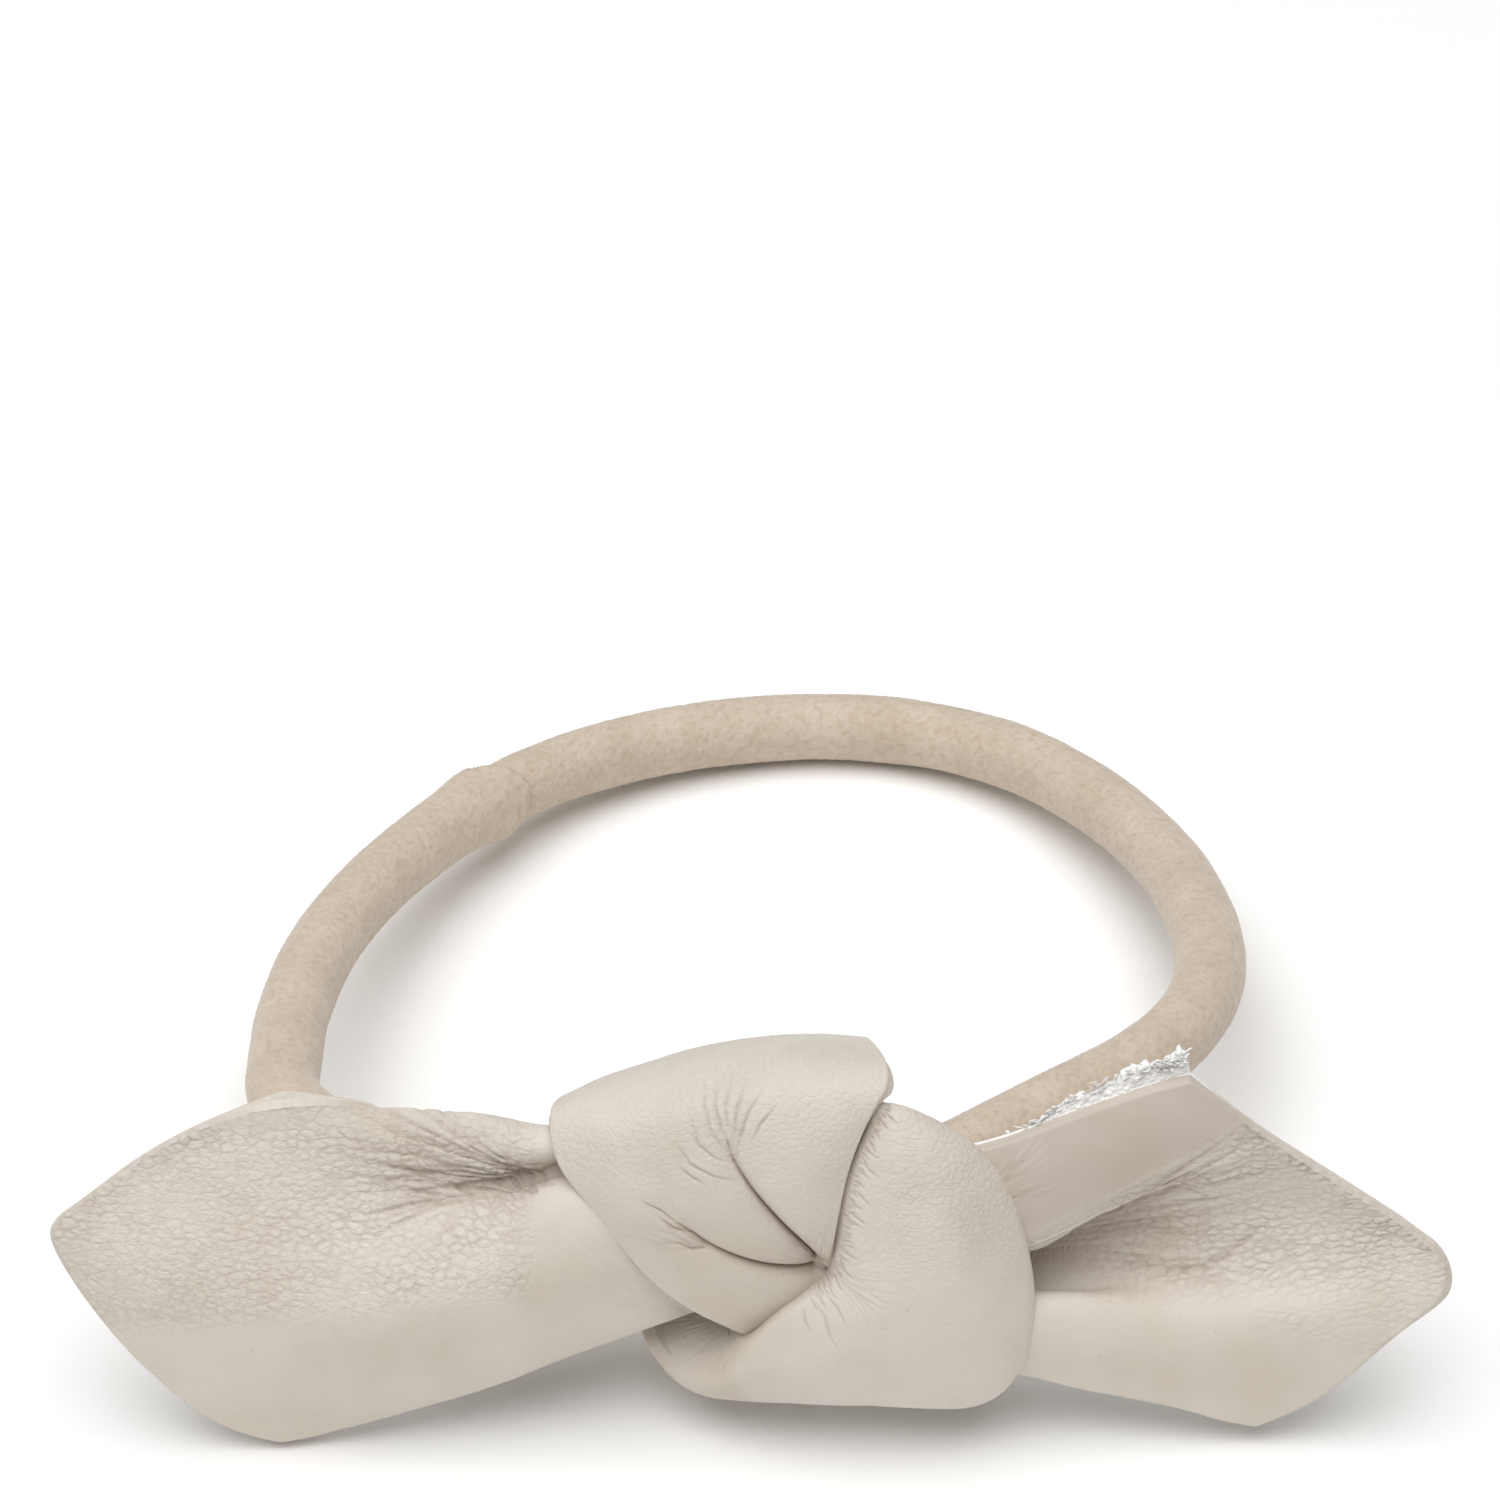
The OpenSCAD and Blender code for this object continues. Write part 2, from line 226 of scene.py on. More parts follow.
# %% From points to an object
def mesh_object(name, points, faces, materials, marks=None, slots=None):
    """A smooth mesh object: slots give each face's material, and marks are numbers on its points."""
    mesh = bpy.data.meshes.new(name)
    mesh.from_pydata(points.tolist(), [], faces)
    mesh.polygons.foreach_set("use_smooth", np.ones(len(faces), bool))
    for material in materials:
        mesh.materials.append(material)
    if slots is not None:
        mesh.polygons.foreach_set("material_index", slots.astype(np.int32))
    for mark, values in (marks or {}).items():
        attribute = mesh.attributes.new(mark, "FLOAT", "POINT")
        attribute.data.foreach_set("value", np.ascontiguousarray(values, np.float32))
    piece = bpy.data.objects.new(name, mesh)
    bpy.context.collection.objects.link(piece)
    print(name, "has", len(mesh.polygons), "faces")
    return piece


# %% [markdown]
# ## Two kinds of noise
#
# Nap and leather grain are both cell patterns: each tuft or pebble is one cell, and the
# valleys run where two cells are equally near. Soft noise is for the slow, uneven change
# from one place to the next that keeps a real surface from looking made by machine.

# %% Cell noise and soft noise
def cell_noise(points, seed):
    """For each point, the distances to the nearest and second nearest centre of a jittered grid."""
    base = np.floor(points).astype(int)
    near = np.full(points.shape[:-1], 9.0)
    second = near.copy()
    for dx in (-1, 0, 1):
        for dy in (-1, 0, 1):
            cell = base + (dx, dy)
            mixed = np.sin(cell[..., 0] * 127.1 + cell[..., 1] * 311.7 + seed) * 43758.5453
            other = np.sin(cell[..., 0] * 269.5 + cell[..., 1] * 183.3 + seed) * 21345.6789
            centre = cell + np.stack([mixed - np.floor(mixed), other - np.floor(other)], -1)
            distance = np.linalg.norm(points - centre, axis=-1)
            second = np.minimum(second, np.maximum(near, distance))
            near = np.minimum(near, distance)
    return near, second


def soft_noise(points, seed):
    """Smooth noise from -1 to 1: a few sine waves with turned directions."""
    total = np.zeros(points.shape[:-1])
    for k in range(5):
        angle = 2.4 * k + seed
        wave = (points[..., 0] * math.cos(angle) + points[..., 1] * math.sin(angle)) * (1 + 0.37 * k)
        total += np.sin(wave + 1.7 * np.sin(wave * 0.43 + seed + k)) / (1 + 0.5 * k)
    return total / 2.6


def gate(value, low, high):
    """Rises smoothly from 0 at low to 1 at high. With high below low it falls."""
    t = np.clip((value - low) / (high - low), 0, 1)
    return t * t * (3 - 2 * t)


# %% [markdown]
# ## Building materials from nodes
#
# Every finish here is procedural. A few helpers keep the node trees short: one makes a
# Principled material, one adds a node and links it, and one stacks bumps of several sizes.

# %% Node helpers
def material_with(name, **sockets):
    """A new node material, with its Principled shader's own sockets set."""
    material = bpy.data.materials.new(name)
    material.use_nodes = True
    shader = material.node_tree.nodes["Principled BSDF"]
    for socket, value in sockets.items():
        shader.inputs[socket.replace("_", " ")].default_value = value
    return material, material.node_tree, shader


def add(tree, kind, inputs=None, **settings):
    """Adds a node. inputs are values, or another node's output to link."""
    node = tree.nodes.new(kind)
    for setting, value in settings.items():
        setattr(node, setting, value)
    for key, value in (inputs or {}).items():
        if isinstance(value, bpy.types.NodeSocket):
            tree.links.new(value, node.inputs[key])
        else:
            node.inputs[key].default_value = value
    return node


def object_position(tree, scale=(1, 1, 1)):
    """The object's own coordinates, stretched, so that a pattern keeps its real size."""
    place = add(tree, "ShaderNodeTexCoord").outputs["Object"]
    return add(tree, "ShaderNodeMapping", {"Vector": place, "Scale": scale}).outputs[0]


def noise(tree, position, scale, detail, **inputs):
    """A noise texture's node at these coordinates. Its scale is in waves to the metre."""
    return add(tree, "ShaderNodeTexNoise", {"Vector": position, "Scale": scale, "Detail": detail, **inputs})


def ramp(tree, source, stops):
    """A colour ramp on a value: stops are (place, colour) pairs."""
    node = add(tree, "ShaderNodeValToRGB", {"Fac": source})
    elements = node.color_ramp.elements
    while len(elements) < len(stops):
        elements.new(0.5)
    for element, (place, colour) in zip(elements, stops):
        element.position = place
        element.color = (*colour, 1)
    return node.outputs["Color"]


def mixed(tree, share, first, second, blend="MIX"):
    """Mixes two colours by a share, each a colour or a socket."""
    node = add(tree, "ShaderNodeMix", data_type="RGBA", blend_type=blend)
    for socket, value in ((node.inputs[0], share), (node.inputs[6], first), (node.inputs[7], second)):
        if isinstance(value, bpy.types.NodeSocket):
            tree.links.new(value, socket)
        else:
            socket.default_value = (*value, 1) if isinstance(value, tuple) else value
    return node.outputs[2]


def bumped(tree, shader, heights):
    """Chains bumps, each (height socket, strength, distance in metres), into the shader."""
    normal = None
    for height, strength, distance in heights:
        bump = add(tree, "ShaderNodeBump", {"Height": height, "Strength": strength, "Distance": distance})
        if normal is not None:
            tree.links.new(normal, bump.inputs["Normal"])
        normal = bump.outputs["Normal"]
    tree.links.new(normal, shader.inputs["Normal"])


# %% [markdown]
# ## The brushed sleeve
#
# The sleeve is a knitted tube whose face has been brushed, so it is covered in short
# tufts and has no shine of its own. Fibres at its rim catch the light, which is what the
# sheen is for. The tufts are real bumps in the mesh, and finer bump in the material
# breaks them up.
#
# At the back left the sleeve's ends are lapped: the upper end is turned in and its edge
# crosses the cord at a slant, with a step down beside it. It hides the joint of the
# rubber.

# %% The lap of the sleeve
LAP_AT = (-13.6, 46.6)
LAP_SLANT = 2.6
LAP_RISE = 0.5
LAP_DROP = 0.4

lap_way = cord_way[np.argmin(np.linalg.norm(cord_points - LAP_AT, axis=1))]
print("the sleeve is lapped", round(float(lap_way), 1), "mm along the cord")


def lap_step(way, turn):
    """How far the lap lifts or sinks the skin, and the shadow along its slanting edge."""
    edge = lap_way + 1.6 - LAP_SLANT * np.cos(turn - 2.6)
    past = way - edge
    raised = LAP_RISE * np.exp(-np.clip(past, 0, None) / 1.8)
    sunk = -LAP_DROP * np.exp(np.clip(past, None, 0) / 2.6)
    blend = gate(past, -0.16, 0.16)
    facing = gate(np.cos(turn - 2.4), -0.75, 0.1)
    shadow = np.exp(-((past + 0.2) / 0.3) ** 2)
    return (raised * blend + sunk * (1 - blend)) * facing, shadow * facing


# %% Brushed knit
def sleeve_material():
    """Beige velour: uneven tufts, no gloss, a soft pale rim, and painted shade in its valleys."""
    material, tree, shader = material_with(
        "brushed_knit", Roughness=0.95, Specular_IOR_Level=0.12, Sheen_Weight=0.45, Sheen_Roughness=0.45)
    position = object_position(tree)
    tufts = noise(tree, position, 1500, 5, Roughness=0.62)
    patches = noise(tree, position, 260, 3)
    tone = ramp(tree, tufts.outputs["Fac"], [(0.25, (0.585, 0.480, 0.370)), (0.72, (0.690, 0.590, 0.485))])
    # Slow patches, at random up to a tenth darker.
    mottling = ramp(tree, patches.outputs["Fac"], [(0.3, (0.90, 0.885, 0.865)), (0.65, (1, 1, 1))])
    tone = mixed(tree, 1.0, tone, mottling, "MULTIPLY")
    # Painted shade: the nap mark mixes the colour towards a deep brown in the valleys between tufts and in the
    # painted shadow along the lap's edge.
    depth = add(tree, "ShaderNodeAttribute", attribute_name="nap").outputs["Fac"]
    tone = mixed(tree, depth, tone, (0.42, 0.32, 0.23))
    tree.links.new(tone, shader.inputs["Base Color"])
    fibre = noise(tree, position, 6500, 5)
    bumped(tree, shader, [(tufts.outputs["Fac"], 0.6, 0.0002), (fibre.outputs["Fac"], 0.6, 0.00006)])
    return material


# %% [markdown]
# The tufts are drawn on the sleeve's skin laid out flat: along the cord one way and round
# it the other. Where the skin closes on itself, the pattern fades into a copy of itself
# moved by one turn, so no seam shows.

# %% Sleeve
TUFT = (0.42, 0.34)
NAP_DEPTH = 0.075


def tuft_pattern(way, turn):
    """How far each point of the skin is from the middle of its tuft, without a seam."""
    skin = np.stack([way + 0 * turn, CORD_R * turn + 0 * way], -1)
    one_turn_back = np.stack([skin[..., 0], skin[..., 1] - 2 * math.pi * CORD_R], -1)
    share = gate(turn, 5.2, 6.2)[None]
    return cell_noise(skin / TUFT, 1.0)[0] * (1 - share) + cell_noise(one_turn_back / TUFT, 1.0)[0] * share


def make_sleeve():
    """The sleeve: a napped skin outside, a smooth one inside."""
    turn = circle(84)
    way = cord_way[:, None]
    near = tuft_pattern(way, turn)
    slow = soft_noise(np.stack([way * 0.5 + np.cos(turn), way * 0.23 + 1.4 * np.sin(turn)], -1), 3.0)
    nap = NAP_DEPTH * (0.45 - near) + 0.05 * slow
    lap, lap_shadow = lap_step(way, turn)
    radius = CORD_R - 0.02 + nap + lap
    outer = swept(radius * np.cos(turn), radius * np.sin(turn))
    few = circle(20)
    inner = swept(np.tile(BORE_R * np.cos(few), (len(cord_points), 1)), BORE_R * np.sin(few))
    outside_count = outer.shape[0] * outer.shape[1]
    points = np.concatenate([outer.reshape(-1, 3), inner.reshape(-1, 3)])
    faces = np.concatenate([closed_skin(outer), closed_skin(inner, outside_count, True)]).tolist()
    marks = np.zeros(len(points))
    # The nap mark is painted shade: darker in the valleys between tufts, plus a painted shadow beside the lap's
    # edge.
    marks[:outside_count] = (gate(near, 0.42, 0.85) * 0.4 + 0.5 * lap_shadow).reshape(-1)
    return mesh_object("sleeve", from_loop(points), faces, [sleeve_material()], {"nap": marks})


sleeve = make_sleeve()

# %% [markdown]
# ## What makes it stretch
#
# Inside run seven rubber strands, six round a seventh. They were extruded with talc on
# them, so they are a dull off-white. Their ends meet in a drop of clear, amber glue under
# the lap. Nobody sees them, but the loop can't work without them.

# %% Strands and glue
STRAND_R = 0.49
STRAND_PITCH = 1.04
STRANDS = 7


def rubber():
    """Talc-dusted natural rubber."""
    material, tree, shader = material_with("rubber", Roughness=0.7, Specular_IOR_Level=0.3)
    dust = noise(tree, object_position(tree), 1800, 4)
    tone = ramp(tree, dust.outputs["Fac"], [(0.35, (0.62, 0.55, 0.42)), (0.7, (0.78, 0.74, 0.66))])
    tree.links.new(tone, shader.inputs["Base Color"])
    bumped(tree, shader, [(dust.outputs["Fac"], 0.3, 0.00005)])
    return material


def make_strand(number, material):
    """One strand, swept beside the centre line. The last one is in the middle."""
    reach = 0 if number == STRANDS else STRAND_PITCH
    place = math.radians(60 * (number - 1))
    turn = circle(12)
    out = np.tile(reach * math.cos(place) + STRAND_R * np.cos(turn), (len(cord_points), 1))
    grid = swept(out, reach * math.sin(place) + STRAND_R * np.sin(turn))[::4]
    points = from_loop(grid.reshape(-1, 3))
    return mesh_object(f"strand_{number}", points, closed_skin(grid).tolist(), [material])


rubber_material = rubber()
strands = [make_strand(number, rubber_material) for number in range(1, STRANDS + 1)]


# %% [markdown]
# The drop of glue is the one part that stays as the CAD model has it. It only gets a
# finish: a slightly glossy, clouded amber.

# %% Glue
def amber_glue():
    """Set glue, unevenly clouded from deep to pale amber."""
    material, tree, shader = material_with("amber_glue", Roughness=0.25, IOR=1.48)
    clouds = noise(tree, object_position(tree), 900, 2)
    tone = ramp(tree, clouds.outputs["Fac"], [(0.3, (0.62, 0.40, 0.16)), (0.7, (0.80, 0.62, 0.34))])
    tree.links.new(tone, shader.inputs["Base Color"])
    return material


splice = frame["nodes"]["splice_glue"]
splice.data.materials.clear()
splice.data.materials.append(amber_glue())
print("the glue has", len(splice.data.polygons), "faces")

# %% [markdown]
# The loop stretches to the back. Its front stays with the knot and its back arc moves as
# one, and the back arc starts further back on the right than on the left. Here the sleeve
# and the strands only take the place of the CAD model's four stretches of the loop, which
# are hidden, and are fixed where they are.

for piece, slot in [(sleeve, "sleeve")] + [(strand, "strand") for strand in strands]:
    stretches = [f"{piece.name}_{where}" for where in ("front", "right", "back", "left")]
    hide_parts(*stretches)
    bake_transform(piece)

# %% [markdown]
# ## Drawing a soft surface
#
# Soft leather has no straight lines, so each stretch of the strip starts as a net: a few
# rows of points, placed like pins in a paper pattern. A Catmull-Rom curve passes
# through all its points, so a surface made of such curves goes where the pins are. A
# light blur over the fine grid then takes out the small changes of curvature at the pins.

# %% From a coarse net to a fine grid
def smooth_curve(points, steps):
    """Catmull-Rom curves through points along their first axis, with steps from each to the next."""
    p = np.asarray(points, float)
    p = np.concatenate([2 * p[:1] - p[1:2], p, 2 * p[-1:] - p[-2:-1]])
    a, b, c, d = (p[i:len(p) - 3 + i][:, None] for i in range(4))
    t = (np.arange(steps) / steps).reshape(1, -1, *[1] * (p.ndim - 1))
    curve = 0.5 * (2 * b + (c - a) * t + (2 * a - 5 * b + 4 * c - d) * t ** 2
                   + (3 * b - a - 3 * c + d) * t ** 3)
    return np.concatenate([curve.reshape(-1, *p.shape[1:]), p[-2:-1]])


def blurred(grid, radius):
    """The grid after a Gaussian blur along both its axes. Its borders keep their place."""
    reach = int(3 * radius) + 1
    kernel = np.exp(-0.5 * (np.arange(-reach, reach + 1) / radius) ** 2)
    kernel /= kernel.sum()
    out = grid
    for axis in (0, 1):
        first = np.take(out, [0], axis)
        last = np.take(out, [-1], axis)
        size = out.shape[axis]
        before = 2 * first - np.flip(np.take(out, range(1, reach + 1), axis), axis)
        after = 2 * last - np.flip(np.take(out, range(size - reach - 1, size - 1), axis), axis)
        padded = np.concatenate([before, out, after], axis)
        out = sum(k * np.take(padded, range(i, i + size), axis) for i, k in enumerate(kernel))
    return out


def fine_grid(net, rows, columns, blur=0.3):
    """A net of pins as a grid with this many steps between rows and between columns."""
    grid = smooth_curve(net, rows)
    grid = smooth_curve(grid.swapaxes(0, 1), columns).swapaxes(0, 1)
    return blurred(grid, blur * min(rows, columns))


def normals_of(grid):
    """Unit normals of a grid of points, from its two directions."""
    n = np.cross(np.gradient(grid, axis=0), np.gradient(grid, axis=1))
    return n / np.maximum(np.linalg.norm(n, axis=-1, keepdims=True), 1e-12)


# %% [markdown]
# ## Creases and wrinkles
#
# Three things mark the leather. Deep creases run into the middle of the knot, where the
# strip is squeezed. Fine wrinkles fan out from where each crease dies away, and stand
# across an edge where the leather is gathered. And its face has a pebbled grain.
#
# All three move points of the surface along its normal, so they are real shape, with real
# shadows. A crease is a line with a sharp valley: the depth falls off as the power of e
# to the minus distance, which leaves two round lips and a knife-thin bottom, as folded
# leather has.

# %% Distance to a line drawn on the bow
def along_line(grid, line):
    """Each point's distance to a line of (a, b) points, signed by its side, and its share of the way."""
    line = np.asarray(line, float)
    lengths = np.linalg.norm(np.diff(line, axis=0), axis=1)
    starts = np.concatenate([[0], np.cumsum(lengths)])
    best = np.full(grid.shape[:2], np.inf)
    side = np.ones(grid.shape[:2])
    way = np.zeros(grid.shape[:2])
    for p, q, length, start in zip(line, line[1:], lengths, starts):
        direction = (q - p) / length
        offset = grid[..., :2] - p
        t = np.clip(offset @ direction, 0, length)
        distance = np.linalg.norm(offset - t[..., None] * direction, axis=-1)
        nearer = distance < best
        best = np.where(nearer, distance, best)
        turn = offset[..., 0] * direction[1] - offset[..., 1] * direction[0]
        side = np.where(nearer, np.sign(turn), side)
        way = np.where(nearer, (start + t) / starts[-1], way)
    return best * side, way


# %% Creases and wrinkles
def crease(grid, line, depth, left_width, right_width=None, growth=0.8):
    """How far a crease lowers each point: nothing at the line's start, depth at its end.
    It may be wide on one side and steep on the other, seen along the line."""
    distance, way = along_line(grid, line)
    width = np.where(distance > 0, left_width, right_width or left_width)
    return -np.exp(-np.abs(distance) / width) * depth * way ** growth


def wrinkles(grid, lines, depth, width):
    """Fine valleys along many short lines, deepest in the middle of each."""
    total = np.zeros(grid.shape[:2])
    for line in lines:
        line = np.asarray(line, float)
        reach = 5 * width
        low = line.min(axis=0) - reach
        high = line.max(axis=0) + reach
        near = ((grid[..., :2] > low) & (grid[..., :2] < high)).all(axis=-1)
        if not near.any():
            continue
        distance, way = along_line(grid[near][:, None], line)
        profile = np.exp(-0.5 * (distance / width) ** 2) * np.sin(np.pi * np.clip(way, 0.02, 0.98))
        total[near] = np.maximum(total[near], profile[:, 0])
    return -depth * total


# %% Lines for wrinkles: a fan and a comb
def fan(rng, root, heading, spread, count, length):
    """Wrinkle lines that leave root within spread degrees of heading, each a little curved."""
    lines = []
    for k in range(count):
        angle = math.radians(heading + spread * ((k + 0.5) / count - 0.5) * 2 + rng.normal(0, 3))
        reach = length * rng.uniform(0.45, 1.0)
        curl = rng.normal(0, 0.25)
        start = np.array(root) + rng.normal(0, 0.35, 2)
        steps = np.linspace(0, 1, 6)
        turned = angle + curl * steps
        strides = np.stack([np.cos(turned), np.sin(turned)], 1) * reach / 6
        lines.append(start + np.cumsum(strides, axis=0))
    return lines


def comb(rng, line, count, length, lean):
    """Short wrinkle lines that stand across a line, as where leather is gathered."""
    line = smooth_curve(line, 8)
    lines = []
    for k in range(count):
        at = (k + rng.uniform(0.2, 0.8)) / count * (len(line) - 1)
        i = min(int(at), len(line) - 2)
        root = line[i] + (line[i + 1] - line[i]) * (at - i)
        forward = line[i + 1] - line[i]
        across = np.array([-forward[1], forward[0]]) / np.linalg.norm(forward)
        slant = across + (lean + rng.normal(0, 0.22)) * forward / np.linalg.norm(forward)
        reach = length * rng.uniform(0.4, 1.0)
        lines.append([root + slant * reach * s + rng.normal(0, 0.04, 2) for s in (0, 0.35, 0.7, 1)])
    return lines


# %% [markdown]
# The grain is a cell pattern, stretched along the strip, because leather has long pebbles
# where it was pulled. A slow noise bends the rows and makes some valleys deeper. The same
# valleys, drawn round one point instead of in rows, make the wrinkles of a gather.

# %% Pebbled grain
def cell_valleys(p, seed, width=0.24):
    """Height from -1 in the valleys between cells to 0 on top of them."""
    p = p + 0.28 * np.stack([soft_noise(p * 1.9, seed), soft_noise(p * 1.7, seed + 3)], -1)
    near, second = cell_noise(p, seed)
    return -np.exp(-((second - near) / width) ** 2) * (0.6 + 0.4 * soft_noise(p * 0.6, seed + 5))


def pebbles(grid, size, stretch, heading, seed):
    """Grain of this size in millimetres, stretched along a heading."""
    turn = math.radians(heading)
    a = grid[..., 0] * math.cos(turn) + grid[..., 1] * math.sin(turn)
    b = grid[..., 1] * math.cos(turn) - grid[..., 0] * math.sin(turn)
    return cell_valleys(np.stack([a / (size * stretch), b / size], -1), seed)


def gathered(grid, root, heading, spread, length, lines, seed):
    """Fine wrinkles that run together at root, within spread degrees of a heading."""
    offset = grid[..., :2] - root
    reach = np.linalg.norm(offset, axis=-1)
    angle = np.arctan2(offset[..., 1], offset[..., 0]) - math.radians(heading)
    angle = (angle + math.pi) % (2 * math.pi) - math.pi
    spread = math.radians(spread)
    p = np.stack([reach / length * 2.2, angle / spread * lines * 0.5], -1)
    in_reach = gate(reach, 0.1, 0.5) * gate(reach, length, 0.3 * length)
    return cell_valleys(p, seed, 0.3) * (in_reach * gate(np.abs(angle), spread, 0.5 * spread))


# %% [markdown]
# ## From a surface to a piece of leather
#
# Leather has two faces: the smooth grain in front and the furry flesh side behind. Its cut
# edge shows the pale inside. So a piece is the grid in front, a second grid one thickness
# behind it, and a rounded strip of faces along the border, with a material for each.
#
# Blender's Solidify modifier does nearly this. Building it here gives a round edge, and a
# back that follows the deep folds but not the grain.

# %% The border of a piece
LEATHER_T = 1.0
FACE, FLESH, EDGE = 0, 1, 2


def border_of(rows, columns):
    """Indices of a grid's border points, once round."""
    top = [(0, j) for j in range(columns)]
    right = [(i, columns - 1) for i in range(1, rows)]
    bottom = [(rows - 1, j) for j in range(columns - 2, -1, -1)]
    left = [(i, 0) for i in range(rows - 2, 0, -1)]
    return np.array(top + right + bottom + left)


def edge_distance(grid, reach):
    """Rises from 0 at a grid's border to 1 at this distance in millimetres from it."""
    share = np.ones(grid.shape[:2])
    for axis in (0, 1):
        steps = np.linalg.norm(np.diff(grid, axis=axis), axis=-1)
        zero = np.zeros_like(np.take(steps, [0], axis))
        along = np.concatenate([zero, np.cumsum(steps, axis)], axis)
        left = np.take(along, [-1], axis) - along
        share = np.minimum(share, np.minimum(gate(along, 0, reach), gate(left, 0, reach)))
    return share


# %% Its rounded rim, and its faces
def rim_rings(front, back, base, normal, border):
    """Rings of points along the border, from the face to the flesh side, bulging outward."""
    i, j = border.T
    outward = base[i, j] - base[np.clip(i, 1, base.shape[0] - 2), np.clip(j, 1, base.shape[1] - 2)]
    n = normal[i, j]
    outward -= (outward * n).sum(1, keepdims=True) * n
    outward /= np.maximum(np.linalg.norm(outward, axis=1, keepdims=True), 1e-9)
    gap = back[i, j] - front[i, j]
    width = np.linalg.norm(gap, axis=1, keepdims=True)
    rings = []
    for turn in np.radians([35, 70, 110, 145]):
        bulge = outward * 0.3 * math.sin(turn) * width
        rings.append(front[i, j] + gap * 0.5 * (1 - math.cos(turn)) + bulge)
    return rings


def piece_faces(rows, columns, border, ring_count, side):
    """Quads of the face, the flesh side and the rim. side=-1 turns them all over."""
    index = np.arange(rows * columns).reshape(rows, columns)
    quads = np.stack([index[:-1, :-1], index[1:, :-1], index[1:, 1:], index[:-1, 1:]], -1).reshape(-1, 4)
    front = quads if side == 1 else quads[:, ::-1]
    back = front[:, ::-1] + rows * columns
    edge = index[tuple(border.T)]
    lines = [edge]
    lines += [2 * rows * columns + k * len(border) + np.arange(len(border)) for k in range(ring_count)]
    lines += [edge + rows * columns]
    rim = []
    for a, b in zip(lines, lines[1:]):
        strip = np.stack([a, np.roll(a, -1), np.roll(b, -1), b], 1)
        rim.append(strip if side == 1 else strip[:, ::-1])
    return front, back, np.concatenate(rim)


# %% [markdown]
# A cut edge is never quite sharp: handling rounds the face over in the last half
# millimetre. So the face sinks a little there, and wrinkles fade out before it.

# %% A piece of leather
EDGE_FADE = 0.3
EDGE_ROUND = 0.5


def leather_piece(name, base, height, materials, side=1, thickness=LEATHER_T, marks=None):
    """A solid whose face is the base grid raised by height. side=-1 turns it over."""
    rows, columns = base.shape[:2]
    normal = normals_of(base) * side
    border_fade = edge_distance(base, EDGE_FADE)
    rounding = 0.6 * thickness * (1 - edge_distance(base, EDGE_ROUND)) ** 2
    front = base + normal * (height * border_fade - rounding)[..., None]
    follow = np.minimum(blurred(height[..., None], 4)[..., 0], height)
    back = base + normal * (follow * border_fade - thickness)[..., None]
    border = border_of(rows, columns)
    rings = rim_rings(front, back, base, normal, border)
    points = np.concatenate([front.reshape(-1, 3), back.reshape(-1, 3), *rings])
    parts = piece_faces(rows, columns, border, len(rings), side)
    slots = np.repeat([FACE, FLESH, EDGE], [len(part) for part in parts])
    point_marks = {}
    for mark, values in (marks or {}).items():
        at_rim = np.tile(values[tuple(border.T)], len(rings))
        point_marks[mark] = np.concatenate([values.reshape(-1), values.reshape(-1), at_rim])
    faces = np.concatenate(parts).tolist()
    piece = mesh_object(name, from_bow(points), faces, materials, point_marks, slots)
    piece.data.validate()
    cells = np.linalg.norm(np.cross(np.gradient(base, axis=0), np.gradient(base, axis=1)), axis=-1)
    length = np.linalg.norm(np.diff(base, axis=0), axis=-1).sum(0).mean()
    print(name, "covers", round(float(cells.sum())), "square mm and is", round(float(length), 1), "mm long")
    return piece


# %% [markdown]
# ## Leather, flesh side and raw edge
#
# Nappa is smooth, softly matt leather. Its colour is a warm cream that is never quite
# even. Close up it shows pores and hair-fine lines, too small for the mesh, so they are
# bump from two noises. Each point of the mesh also carries a crease mark, which is painted
# shade: there the colour is mixed towards a dark brown, in creases, wrinkles and grain
# valleys, in hollows and on faces turned from the light.
#
# A material could be one flat colour with a glossy coat, and it would look like plastic.
# What makes leather is this unevenness at several sizes, and a broad, weak shine.

# %% The face of the leather
CREAM = (0.683, 0.630, 0.566)
CREAM_DEEP = (0.622, 0.560, 0.485)
# The colour of the painted shade in creases and hollows.
CREVICE_SHADE = (0.300, 0.215, 0.165)
FLESH_WHITE = (0.80, 0.785, 0.765)
FIBRE_WHITE = (0.93, 0.925, 0.915)


